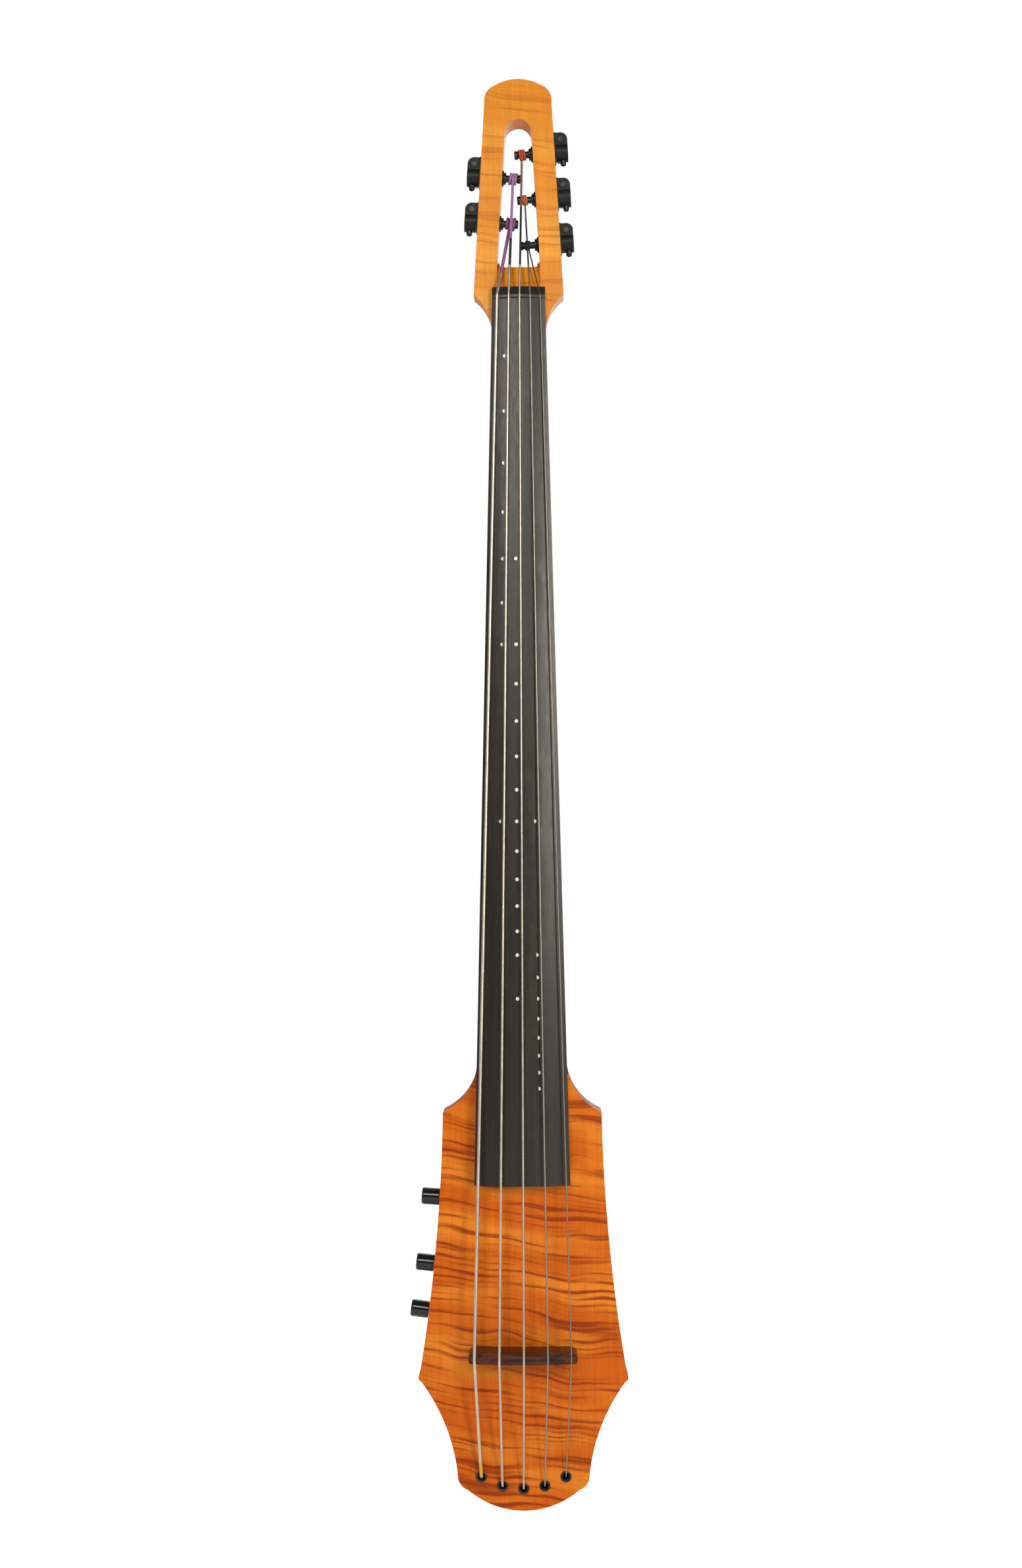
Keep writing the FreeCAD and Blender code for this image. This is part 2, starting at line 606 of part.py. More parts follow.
def worm_wheel(name):
    """A wheel on Z with a tooth gap on +X."""
    wheel = new_body(name)
    disc = wheel.newObject("Sketcher::SketchObject", name + "_disc")
    disc.AttachmentSupport = [(origin_plane(wheel, "XY_Plane"), "")]
    disc.MapMode = "FlatFace"
    for radius in (wheel_tip, of("post_radius")):
        ring = disc.addGeometry(Part.Circle(Vector(), Vector(0, 0, 1), radius.value), False)
        disc.addConstraint(Sketcher.Constraint("Coincident", ring, 3, -1, 1))
        number = disc.addConstraint(Sketcher.Constraint("Radius", ring, radius.value))
        disc.setExpression(f"Constraints[{number}]", radius.text)
    pad = wheel.newObject("PartDesign::Pad", name + "_pad")
    pad.Profile = disc
    pad.setExpression("Length", of("gear_wide").text)
    out = wheel_tip + of("gear_module") / 2
    foot = of("wheel_gap") / 2 - (wheel_pitch - wheel_root) * flank
    mouth = of("wheel_gap") / 2 + (out - wheel_pitch) * flank
    gap = outline(wheel, name + "_gap", "XY_Plane", [(wheel_root, -foot), (out, -mouth), (out, mouth),
                                                     (wheel_root, foot)])
    notch = wheel.newObject("PartDesign::Pocket", name + "_notch")
    notch.Profile = gap
    notch.Type = "ThroughAll"
    notch.Midplane = True
    teeth = wheel.newObject("PartDesign::PolarPattern", name + "_teeth")
    teeth.Originals = [notch]
    teeth.Axis = (gap, ["N_Axis"])
    teeth.Angle = 360
    teeth.setExpression("Occurrences", of("gear_teeth").text)
    wheel.Tip = teeth
    return wheel


def wood_screw(name, long):
    """A countersunk screw on Z, its head's face at 0 and its point below."""
    radius, top = of("wood_screw_radius"), of("wood_screw_head")
    return turned(name, [(0, -long), (radius, 2 - long), (radius, radius - top), (top, 0), (0, 0)])


plates, bushes, tuner_screws, wall_bores, post_ends = [], [], [], [], []
for number, (side, pitches) in enumerate(TUNERS, start=1):
    frame, wall = tuner_frame(side, pitches)
    outward = TO_RIGHT if side > 0 else TO_LEFT
    diameter = STRING_DIAMETERS[number - 1]

    post = turned(f"post_{number}", [
        (0, -of("post_long")), (of("post_tip_radius") - 1, -of("post_long")),
        (of("post_tip_radius"), 1 - of("post_long")), (of("post_tip_radius"),
                                                       of("post_tip_long") - of("post_long")),
        (of("post_radius"), of("post_tip_long") + 1 - of("post_long")),
        (of("post_radius"), of("plate_thick") + room_deep - of("case_gap")),
        (0, of("plate_thick") + room_deep - of("case_gap")),
    ])
    at(post, turn=outward, frame=frame)
    winding_half = diameter * val("winding_turns") / 2
    winding = turned(f"winding_{number}", [
        (of("post_radius"), -of("winding_in") - winding_half), (of("post_radius") + diameter,
            -of("winding_in") - winding_half),
        (of("post_radius") + diameter, winding_half - of("winding_in")), (of("post_radius"),
            winding_half - of("winding_in")),
    ])
    at(winding, turn=outward, frame=frame)
    own(gather(f"wound_post_{number}", post, winding), f"tuner_post_{number}")

    wheel = worm_wheel(f"wheel_{number}")
    at(wheel, side * (worm_out - of("gear_wide") / 2).value, turn=outward, frame=frame)
    own(wheel, f"worm_wheel_{number}")

    shaft = worm(f"worm_{number}")
    at(shaft, side * worm_out.value, 0, worm_up.value, Rotation(Vector(1, 1, 1), 240), frame)
    own(shaft, f"worm_shaft_{number}")

    handle = button(f"button_{number}")
    at(handle, side * worm_out.value, 0, worm_up.value, frame=frame)
    own(handle, f"tuner_button_{number}")

    shell = padded(
        f"case_shell_{number}", "XZ_Plane",
        [(side * of("plate_thick"), 0), (side * case_out, 0), (side * case_out, case_top - of("case_corner")),
         (side * (case_out - of("case_corner")), case_top), (side * of("plate_thick"), case_top)],
        case_half * 2, {2: of("case_corner") * side}, lift=-case_half,
    )
    bulge = primitive("Cylinder", f"case_bulge_{number}", Radius=case_round,
                      Height=case_out - of("plate_thick"))
    at(bulge, side * val("plate_thick"), turn=outward)
    rim = primitive("Cylinder", f"case_rim_{number}", Radius=worm_tip - of("case_gap"),
                    Height=of("case_rim") + 1)
    at(rim, side * worm_out.value, 1 - case_half.value, worm_up.value, TO_FRONT)
    outside = fuse(f"case_outside_{number}", shell, bulge, rim)
    worm_room = primitive("Cylinder", f"worm_room_{number}", Radius=worm_tip + of("case_gap"),
                          Height=(worm_half + of("case_gap")) * 2)
    at(worm_room, side * worm_out.value, -(worm_half + of("case_gap")).value, worm_up.value, TO_BACK)
    wheel_room = primitive("Cylinder", f"wheel_room_{number}", Radius=wheel_tip + of("case_gap"),
                           Height=room_deep + 1)
    at(wheel_room, side * (val("plate_thick") - 1), turn=outward)
    journals = primitive("Cylinder", f"journal_bore_{number}",
                         Radius=of("journal_radius") + of("running_fit"),
                         Height=case_half * 2 + 10)
    at(journals, side * worm_out.value, -case_half.value - 5, worm_up.value, TO_BACK)
    case = cut(f"case_{number}", outside, worm_room, wheel_room, journals)
    at(case, frame=frame)
    own(case, f"tuner_housing_{number}")

    x_low, x_high = sorted((0, side * val("plate_thick")))
    flat = block(f"flat_{number}", (x_low, x_high), (-case_round, case_round), (-case_round, case_top))
    hole = primitive("Cylinder", f"flat_hole_{number}", Radius=of("post_radius") + of("case_gap"), Height=10)
    at(hole, -side * 5, turn=outward)
    plates.append(at(cut(f"base_plate_{number}", flat, hole), frame=frame))

    bore = of("post_radius") + of("running_fit")
    bush = turned(f"bush_{number}", [
        (bore, 0), (bore, -wall - of("flange_thick") - of("collar_long")),
        (of("collar_radius"), -wall - of("flange_thick") - of("collar_long")),
        (of("collar_radius"), -wall - of("flange_thick")), (of("flange_radius"),
                                                            -wall - of("flange_thick") + 0.8),
        (of("flange_radius"), -wall - of("bush_clear")), (of("bush_radius"), -wall - of("bush_clear")),
        (of("bush_radius"), 0),
    ])
    bushes.append(at(bush, turn=outward, frame=frame))
    wall_bore = primitive("Cylinder", f"wall_bore_{number}", Radius=of("bush_radius"), Height=wall + 10)
    wall_bores.append(at(wall_bore, -side * (wall + 5), turn=outward, frame=frame))

    for y, z in ((-case_round + screw_in, case_top - screw_in), (case_round - screw_in, case_top - screw_in)):
        screw = wood_screw(f"tuner_screw_{len(tuner_screws) + 1}", of("wood_screw_long"))
        tuner_screws.append(at(screw, side * val("plate_thick"), y.value, z.value, outward, frame))
    post_ends.append((frame, side, diameter))
own(gather("wood_screws", *tuner_screws), "tuner_screws")
own(cut("drilled_plates", gather("plates", *plates), doc.wood_screws), "tuner_base_plates")
own(gather("bushes", *bushes), "tuner_bushings")

blank = fuse("neck_blank", neck_shaft, sloped_head, heel)
own(cut("neck_wood", blank, head_slot, ramp, channel, nut_room, nut_seat, doc.wood_screws, *wall_bores),
    "neck")

# ---- strings ----
# Wound strings, each from its post over the nut and the bridge, through its ferrule to a ball in the back.

ferrule_places = []
for number in range(5):
    x = (number - 2) * val("ferrule_pitch")
    z = -body_down + val("ferrule_up") + sag(val("ferrule_arc"), x)
    ferrule_places.append((x, front_at(x), z))


def string_route(index):
    """Where a string turns: post, nut, bridge, ferrule and ball."""
    frame, side, diameter = post_ends[index]
    lift = diameter * (0.5 - val("string_seat"))
    touch = frame.multVec(Vector(-side * val("winding_in"), -val("post_radius") - diameter / 2, 0))
    x = nut_places[index]
    crown = sag(val("nut_crown"), x) - board_nut_rise.value - val("nut_lip") - lift
    over_nut = glue.multVec(Vector(x, crown, 3))
    short = sqrt((val("post_radius") + diameter + val("winding_gap")) ** 2 - val("post_radius") ** 2)
    start = touch + (over_nut - touch).normalize() * short
    x = bridge_places[index]
    over_bridge = Vector(x, bridge_top_y + sag(val("bridge_crown"), x) - lift, bridge_z)
    x, y, z = ferrule_places[index]
    over_ferrule = Vector(x, y - val("string_over_ferrule"), z)
    return [start, over_nut, over_bridge, over_ferrule, Vector(x, -val("ball_long") - 3, z)]


fat_strings = []
for index, diameter in enumerate(STRING_DIAMETERS):
    route = string_route(index)
    ball = Part.makeCylinder(val("ball_radius"), val("ball_long"), route[-1], Vector(0, 1, 0))
    thing = doc.addObject("Part::Feature", f"string_{index + 1}")
    thing.Shape = tube_along(route, val("string_bend"), diameter / 2).fuse(ball)
    fat = doc.addObject("Part::Feature", f"string_room_{index + 1}")
    fat.Shape = tube_along(route, val("string_bend"), diameter / 2 + val("string_clear"))
    fat_strings.append(fat)
own(cut("slotted_nut", nut_block, *fat_strings), "nut")

# ---- ferrules and cups ----
# Flanged metal bushes that the strings enter in the front, and cups in the back that hold their balls.

ferrules, cups, string_bores = [], [], []
for number, (x, y, z) in enumerate(ferrule_places, start=1):
    bore, mouth = of("sleeve_bore"), of("sleeve_radius") - 0.2
    ferrule = turned(f"ferrule_{number}", [
        (bore, -of("sleeve_long")), (of("sleeve_radius"), -of("sleeve_long")), (of("sleeve_radius"), 0),
        (of("ferrule_radius"), 0), (of("ferrule_radius"), of("ferrule_lip") * 0.6),
        (of("ferrule_radius") - 0.6, of("ferrule_lip")), (mouth, of("ferrule_lip")), (bore,
            of("ferrule_lip") - 3),
    ])
    ferrules.append(at(ferrule, x, y, z, TO_FRONT))
    cup = turned(f"cup_{number}", [
        (bore, -of("cup_long")), (of("cup_radius"), -of("cup_long")), (of("cup_radius"), 0),
        (of("ball_radius") + 0.3, 0), (of("ball_radius") + 0.3, 1.5 - of("cup_long")), (bore,
            1.5 - of("cup_long")),
    ])
    cups.append(at(cup, x, 0, z, TO_BACK))
    for name, radius, low, high in (
        ("sleeve_hole", of("sleeve_radius"), y, y + val("sleeve_long")), ("string_hole", bore + 0.5, y, 0),
        ("cup_hole", of("cup_radius"), -val("cup_long"), 1), ("flange_seat", of("ferrule_radius"), y - 8, y),
    ):
        hole = primitive("Cylinder", f"{name}_{number}", Radius=radius, Height=high - low)
        string_bores.append(at(hole, x, low, z, TO_BACK))
own(gather("ferrules", *ferrules), "string_ferrules")
own(gather("cups", *cups), "string_cups")

# ---- bridge ----
# A crowned hardwood bridge that stands on the arched front on two steel studs, with a pickup strip in its
# base.

bridge_half = of("bridge_long") / 2
foot_y = plain(front_at(bridge_half.value))
edge_y = plain(bridge_top_y + sag(val("bridge_crown"), bridge_half.value))
bridge_block = padded(
    "bridge_block", "XY_Plane", [(-bridge_half, foot_y), (bridge_half, foot_y), (bridge_half, edge_y),
                                 (-bridge_half, edge_y)],
    of("bridge_thick"), {0: of("body_arch"), 2: -of("bridge_crown")},
)
at(bridge_block, z=bridge_z - val("bridge_thick") / 2)
end_round = of("bridge_thick") / 2
bridge_plan = padded(
    "bridge_plan", "XZ_Plane",
    [(end_round - bridge_half, -end_round), (bridge_half - end_round, -end_round),
     (bridge_half - end_round, end_round), (end_round - bridge_half, end_round)],
    plain(-bridge_top_y) * 2, {1: end_round * 1.001, 3: end_round * 1.001}, lift=-plain(-bridge_top_y),
)
at(bridge_plan, z=bridge_z)
rounded_bridge = doc.addObject("Part::Common", "rounded_bridge")
rounded_bridge.Base, rounded_bridge.Tool = bridge_block, bridge_plan
bridge_lean = padded(
    "bridge_lean", "YZ_Plane",
    [(foot_y, -of("bridge_thick") / 2 - 1), (foot_y, -of("bridge_thick") / 2), (bridge_top_y - 2,
        of("bridge_thick") / 2 - of("bridge_top_thick")),
     (bridge_top_y - 2, -of("bridge_thick") / 2 - 1)], of("bridge_long") + 10, lift=-bridge_half - 5,
)
at(bridge_lean, z=bridge_z)
pickup_y = body_crown_y - val("pickup_high") - 0.2
pickup_half, pickup_side = of("pickup_long") / 2, of("pickup_wide") / 2
pickup = block("pickup_strip", (-pickup_half, pickup_half), (pickup_y, pickup_y + of("pickup_high")),
               (-pickup_side, pickup_side), Placement(Vector(0, 0, bridge_z), Rotation()))
own(pickup, "bridge_pickup")
pickup_room = block("pickup_room", (-pickup_half, pickup_half), (pickup_y, 0), (-pickup_side, pickup_side),
                    Placement(Vector(0, 0, bridge_z), Rotation()))
studs = []
for side in (-1, 1):
    stud = primitive("Cylinder", f"stud_{side + 2}", Radius=of("stud_radius"),
                     Height=of("stud_in_bridge") + of("stud_in_body"))
    start = front_at(val("stud_reach")) - val("stud_in_bridge")
    studs.append(at(stud, side * val("stud_reach"), start, bridge_z, TO_BACK))
own(gather("studs", *studs), "bridge_studs")
own(cut("bridge_wood", rounded_bridge, bridge_lean, pickup_room, doc.studs, *fat_strings), "bridge")

# ---- knobs and potentiometers ----
# Three knobs on the left side, each on a potentiometer that hangs on the cavity's wall by its threaded bush
# and nut.

knob_top = of("knob_gap") + of("knob_long")
bush_top = of("pot_nut_thick") + of("pot_bush_above")
pots, nuts, pot_holes = [], [], []
for number, z in enumerate(KNOB_HEIGHTS, start=1):
    half, lean = side_half(z)
    frame = Placement(Vector(-half, -val("knob_depth"), z), Rotation(Vector(0, 1, 0), lean - 90))
    wall, back = of("cavity_wall"), of("cavity_wall") + of("pot_deep")
    hollow, edge = of("knob_gap") + of("knob_hollow_deep"), of("knob_edge")
    knob = turned(f"knob_{number}", [
        (of("pot_shaft_radius"), hollow), (of("knob_hollow"), hollow), (of("knob_hollow"), of("knob_gap")),
        (of("knob_radius"), of("knob_gap")), (of("knob_radius"), knob_top - edge), (of("knob_radius") - edge,
            knob_top),
        (0, knob_top), (0, knob_top - of("knob_cap")), (of("pot_shaft_radius"), knob_top - of("knob_cap")),
    ], {4: edge})
    at(knob, frame=frame)
    own(knob, f"knob_{number}")
    shaft_low = of("pot_floor") + of("pot_shaft_gap") - back
    shaft = primitive("Cylinder", f"shaft_{number}", Radius=of("pot_shaft_radius"),
                      Height=knob_top - of("knob_cap") - shaft_low)
    own(at(shaft, z=shaft_low.value, frame=frame), f"pot_shaft_{number}")
    bore = of("pot_shaft_radius") + of("running_fit")
    pot = turned(f"pot_{number}", [
        (0, -back), (of("pot_radius"), -back), (of("pot_radius"), -wall), (of("pot_bush_radius"), -wall),
        (of("pot_bush_radius"), bush_top), (bore, bush_top), (bore, of("pot_floor") - back),
        (0, of("pot_floor") - back),
    ])
    pots.append(at(pot, frame=frame))
    hexagon = primitive("Prism", f"hexagon_{number}", Polygon=6, Circumradius=of("pot_nut_radius"),
                        Height=of("pot_nut_thick"))
    hole = primitive("Cylinder", f"pot_hole_{number}", Radius=of("pot_bush_radius"), Height=wall + 10)
    nut_hole = primitive("Cylinder", f"nut_hole_{number}", Radius=of("pot_bush_radius"), Height=wall)
    nuts.append(at(cut(f"pot_nut_{number}", hexagon, nut_hole), z=val("pot_nut_gap"), frame=frame))
    pot_holes.append(at(hole, z=-(wall + 2).value, frame=frame))
own(gather("pots", *pots), "potentiometers")
own(gather("hexagons", *nuts), "pot_nuts")

# ---- rear cavity, its cover and what it holds ----
# The electronics lie in a cavity in the back, behind the knobs, under a plate let into the back.


def cavity_corners(grow):
    """The cavity's outline, its outer wall along the body's side, grown all round."""
    top, low, inner = val("cavity_top") + grow, -val("cavity_bottom") - grow, -val("cavity_inner") + grow
    outer = [-side_half(z)[0] + val("cavity_wall") - grow for z in (low, top)]
    return [(inner, top), (inner, low), (outer[0], low), (outer[1], top)]


rim = val("cover_rim")
cavity = padded("cavity", "XZ_Plane", cavity_corners(0), of("cavity_deep"))
cover_seat = padded("cover_seat", "XZ_Plane", cavity_corners(rim), of("cover_thick"))
cover_blank = padded("cover_blank", "XZ_Plane", cavity_corners(rim - val("cover_gap")), of("cover_thick"))
corners = cavity_corners(rim / 2)
spots = corners + [((a[0] + b[0]) / 2, (a[1] + b[1]) / 2) for a, b in ((corners[0], corners[1]), (corners[2],
    corners[3]))]
cover_screws = [
    at(wood_screw(f"cover_screw_{count}", of("wood_screw_long")), x, 0, z, TO_BACK)
    for count, (x, z) in enumerate(spots, start=1)
]
own(gather("cover_fixings", *cover_screws), "cover_screws")
jack_x, jack_z = -val("jack_in"), -val("jack_low")
jack_hole = primitive("Cylinder", "jack_hole", Radius=of("jack_radius"), Height=10)
at(jack_hole, jack_x, -5, jack_z, TO_BACK)
own(cut("cover", cover_blank, jack_hole, doc.cover_fixings), "control_cover")
jack_in = -of("cover_thick") - of("jack_long") - of("jack_floor") + of("jack_nut_thick") * 2
jack_mouth = of("jack_nut_thick")
jack = turned("jack_barrel", [
    (0, jack_in), (of("jack_radius"), jack_in), (of("jack_radius"), 0), (of("jack_nut_radius"), 0),
    (of("jack_nut_radius"), jack_mouth), (of("jack_bore"), jack_mouth), (of("jack_bore"),
        jack_mouth - of("jack_long")),
    (0, jack_mouth - of("jack_long")),
])
own(at(jack, jack_x, 0, jack_z, TO_BACK), "output_jack")
wall_y = -of("cavity_deep")
cell_x, cell_z = -of("cavity_inner") - 1, of("battery_low")
cell = block("cell", (cell_x - of("battery_wide"), cell_x), (wall_y, wall_y + of("battery_thick")),
             (cell_z, cell_z + of("battery_high")))
snaps = []
for side in (-1, 1):
    snap = primitive("Cylinder", f"snap_{side + 2}", Radius=3, Height=2.5)
    x = cell_x - of("battery_wide") / 2 + side * of("battery_wide") / 4
    snaps.append(at(snap, x.value, (wall_y + of("battery_thick") / 2).value, (cell_z - 2.5).value))
own(fuse("cell_and_snaps", cell, *snaps), "battery")
board_x, board_z = -of("cavity_inner") - 2, -of("circuit_low")
board_y = wall_y + of("circuit_post")
circuit = [block("circuit", (board_x - of("circuit_wide"), board_x), (board_y, board_y + of("circuit_thick")),
                 (board_z, board_z + of("circuit_high")))]
face_y = board_y + of("circuit_thick")
for x in (0.15, 0.85):
    for z in (0.08, 0.92):
        post = primitive("Cylinder", f"circuit_post_{len(circuit)}", Radius=2, Height=of("circuit_post"))
        spot = (board_x - of("circuit_wide") * x, board_z + of("circuit_high") * z)
        circuit.append(at(post, spot[0].value, wall_y.value, spot[1].value, TO_BACK))
for x, z in ((0.3, 0.3), (0.6, 0.3), (0.3, 0.65), (0.65, 0.7)):
    low = (board_x - of("circuit_wide") * x - 3, board_z + of("circuit_high") * z - 4)
    circuit.append(block(f"chip_{len(circuit)}", (low[0], low[0] + 6), (face_y, face_y + of("chip_high")),
                         (low[1], low[1] + 8)))
own(fuse("circuit_and_chips", *circuit), "circuit_board")

# ---- stand plate ----
# A steel plate let into the back, with a threaded boss that the stand's bolt enters.

plate_y = -of("stand_plate_thick")
flat = block("stand_flat", (-of("plate_half"), of("plate_half")), (plate_y, 0), (-of("plate_up"),
    of("plate_up")))
boss_long = of("socket_long") + 3
boss = primitive("Cylinder", "stand_boss", Radius=of("socket_boss"), Height=boss_long)
at(boss, turn=TO_FRONT)
socket = primitive("Cylinder", "stand_socket", Radius=of("socket_bore"), Height=of("socket_long") + 1)
at(socket, y=1, turn=TO_FRONT)
stand_screws = []
for x in (-val("stand_screw_x"), val("stand_screw_x")):
    for z in (-val("stand_screw_z"), val("stand_screw_z")):
        long, radius, top = of("stand_screw_long"), of("stand_screw_radius"), of("stand_screw_head")
        screw = turned(f"stand_screw_{len(stand_screws) + 1}",
                       [(0, -long), (radius, 3 - long), (radius, radius - top), (top, 0), (0, 0)])
        stand_screws.append(at(screw, x, 0, z, TO_BACK))
own(gather("stand_fixings", *stand_screws), "stand_plate_screws")
solid_plate = fuse("solid_plate", flat, boss)
own(cut("drilled_plate", solid_plate, socket, doc.stand_fixings), "stand_plate")

body_wood = cut("body_wood", arched, heel_bevel, pocket, neck_end, cavity, cover_seat, solid_plate,
                doc.stand_fixings,
                doc.cover_fixings, doc.studs, *pot_holes, *string_bores)
own(body_wood, "body")

# ---- write each sub-part ----

doc.recompute()
faults = [f"{thing.Label}: {thing.State}" for thing in doc.Objects if {"Invalid", "Error"} & set(thing.State)]
NODES = [
    "body", "neck", "fingerboard", "position_dots", "nut", "truss_rod", "bridge", "bridge_studs",
    "bridge_pickup",
    "string_ferrules", "string_cups", "tuner_base_plates", "tuner_bushings", "tuner_screws", "potentiometers",
    "pot_nuts", "circuit_board", "battery", "output_jack", "control_cover", "cover_screws", "stand_plate",
    "stand_plate_screws",
]
for count in range(1, 6):
    NODES += [f"{stem}_{count}" for stem in
              ("string", "tuner_housing", "tuner_post", "worm_wheel", "worm_shaft", "tuner_button")]
for count in range(1, len(KNOB_HEIGHTS) + 1):
    NODES += [f"knob_{count}", f"pot_shaft_{count}"]
pieces = {}
for node in NODES:
    thing = doc.getObjectsByLabel(node)[-1]
    if thing.Shape.isNull() or not thing.Shape.isValid() or not thing.Shape.Solids:
        faults.append(f"{node}: no valid solid")
    pieces[node] = thing.Shape
if faults:
    raise SystemExit("not built: " + "; ".join(faults))
os.makedirs("parts", exist_ok=True)
for node, shape in pieces.items():
    shape.exportStep(f"parts/{node}.step")
    print(f"{node}: {len(shape.Solids)} solids, {shape.Volume:.0f} mm3")
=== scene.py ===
import json
from math import cos, pi, radians, sin

import bpy
from mathutils import Matrix, Vector


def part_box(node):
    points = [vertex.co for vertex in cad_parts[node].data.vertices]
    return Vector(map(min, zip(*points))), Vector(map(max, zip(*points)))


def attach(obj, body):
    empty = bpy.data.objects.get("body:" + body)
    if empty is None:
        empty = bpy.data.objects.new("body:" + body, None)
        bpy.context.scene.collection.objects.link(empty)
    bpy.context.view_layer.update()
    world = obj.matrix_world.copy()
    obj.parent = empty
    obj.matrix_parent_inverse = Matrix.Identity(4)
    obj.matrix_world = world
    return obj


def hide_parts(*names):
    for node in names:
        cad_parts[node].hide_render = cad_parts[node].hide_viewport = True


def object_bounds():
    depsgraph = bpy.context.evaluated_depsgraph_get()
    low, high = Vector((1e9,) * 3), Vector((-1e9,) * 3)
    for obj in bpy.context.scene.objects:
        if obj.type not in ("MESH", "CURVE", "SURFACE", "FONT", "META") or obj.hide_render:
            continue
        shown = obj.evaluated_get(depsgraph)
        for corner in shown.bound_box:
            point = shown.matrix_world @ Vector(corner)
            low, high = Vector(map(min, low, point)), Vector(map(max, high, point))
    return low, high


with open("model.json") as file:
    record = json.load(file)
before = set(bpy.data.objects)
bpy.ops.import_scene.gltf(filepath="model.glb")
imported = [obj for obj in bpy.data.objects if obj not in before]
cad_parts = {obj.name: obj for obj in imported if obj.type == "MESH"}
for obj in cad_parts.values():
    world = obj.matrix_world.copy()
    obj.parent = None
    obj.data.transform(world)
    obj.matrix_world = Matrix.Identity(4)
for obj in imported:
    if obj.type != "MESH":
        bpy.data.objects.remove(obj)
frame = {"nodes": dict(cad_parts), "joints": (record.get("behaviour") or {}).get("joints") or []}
parts = frame["nodes"]
joints = {joint["name"]: joint for joint in frame["joints"]}
cad_low, cad_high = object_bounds()

# ------------------------------------------------------------------------------- studio
# The studio: a pale floor just under the tail of the instrument, white all round, a key light above
# and behind the camera, a tall soft box on the thin-string side, and weak ones opposite and behind.
# The camera stands two metres in front, at the middle of the neck.
FLOOR_GAP, FLOOR_HALF = 0.0005, 6
EYE_PLACE = (0.0198, -2.029, 0.414)
EYE_TURN = (1.204, 0.252, 0.854)
EYE_LENS = 36 * 3000 / 2380

eye = bpy.data.cameras.new("studio_camera")
eye.sensor_fit, eye.sensor_height, eye.lens = "VERTICAL", 36, EYE_LENS
camera = bpy.data.objects.new("studio_camera", eye)
bpy.context.collection.objects.link(camera)
tip, roll, pan = (radians(angle) for angle in EYE_TURN)
facing = Matrix.Rotation(pan, 4, "Z") @ Matrix.Rotation(roll, 4, "Y")
facing = facing @ Matrix.Rotation(tip + pi / 2, 4, "X")
camera.matrix_world = Matrix.Translation(EYE_PLACE) @ facing
bpy.context.scene.camera = camera
bpy.context.scene.view_settings.view_transform = "Standard"


def add(tree, kind, options=None, **inputs):
    """One shader node. Inputs go by name, or by number after an underscore, as values or as links."""
    made = tree.nodes.new("ShaderNode" + kind)
    for option, value in (options or {}).items():
        setattr(made, option, value)
    for name, value in inputs.items():
        socket = made.inputs[int(name[1:]) if name[0] == "_" else name.replace("_", " ")]
        if isinstance(value, bpy.types.NodeSocket):
            tree.links.new(value, socket)
        else:
            socket.default_value = value
    return made


def soft_box(name, place, aim, wide, high, watts, warmth=(1, 1, 1)):
    """A rectangular studio light turned towards a point."""
    lamp = bpy.data.lights.new(name, "AREA")
    lamp.shape, lamp.size, lamp.size_y, lamp.energy, lamp.color = "RECTANGLE", wide, high, watts, warmth
    holder = bpy.data.objects.new(name, lamp)
    bpy.context.collection.objects.link(holder)
    holder.location = place
    holder.rotation_mode = "QUATERNION"
    holder.rotation_quaternion = (Vector(aim) - Vector(place)).to_track_quat("-Z", "Y")


soft_box("treble_box", (1.15, -2.0, 1.0), (0, 0, 0.5), 0.45, 1.3, 27, (1, 0.94, 0.84))
soft_box("key_box", (-0.3, -2.3, 1.5), (0, 0, 0.2), 1.1, 0.9, 21, (1, 0.95, 0.86))
soft_box("bass_box", (-1.9, -1.3, 0.9), (0, 0, 0.35), 0.5, 1.6, 4, (1, 0.98, 0.95))
soft_box("back_box", (0.4, 2.2, 1.3), (0, 0, 0.4), 2.0, 2.0, 16)

room = bpy.data.worlds.new("pale_room")
bpy.context.scene.world = room
room.use_nodes = True
air = room.node_tree
air.nodes.clear()
seen = add(air, "LightPath").outputs["Is Camera Ray"]
direction = add(air, "TexCoord").outputs["Generated"]
depth = add(air, "SeparateXYZ", None, Vector=direction).outputs["Y"]
behind = add(air, "MapRange", None, Value=depth, From_Min=-0.5, From_Max=0.6, To_Min=0.05,
             To_Max=0.35)
glow = add(air, "Background", None, Color=(1, 1, 1, 1), Strength=behind.outputs["Result"])
plain = add(air, "Background", None, Color=(1, 1, 1, 1), Strength=1.0)
either = add(air, "MixShader", None, _0=seen, _1=glow.outputs[0], _2=plain.outputs[0])
add(air, "OutputWorld", None, Surface=either.outputs[0])

floor_mesh = bpy.data.meshes.new("studio_floor")
floor_high = cad_low.z - FLOOR_GAP
floor_corners = [(-1, -1), (1, -1), (1, 1), (-1, 1)]
floor_mesh.from_pydata([(x * FLOOR_HALF, y * FLOOR_HALF, floor_high) for x, y in floor_corners],
                       [], [(0, 1, 2, 3)])
floor = bpy.data.objects.new("studio_floor", floor_mesh)
bpy.context.collection.objects.link(floor)
paint = bpy.data.materials.new("pale_floor")
paint.use_nodes = True
paint.node_tree.nodes.clear()
floor_spots = add(paint.node_tree, "TexNoise", None, Scale=3.0, Detail=2.0).outputs["Fac"]
floor_tone = add(paint.node_tree, "MapRange", None, Value=floor_spots, To_Min=0.80, To_Max=0.84)
floor_seen = add(paint.node_tree, "LightPath").outputs["Is Camera Ray"]
floor_glow = add(paint.node_tree, "MapRange", None, Value=floor_seen, To_Min=0.30, To_Max=0.90)
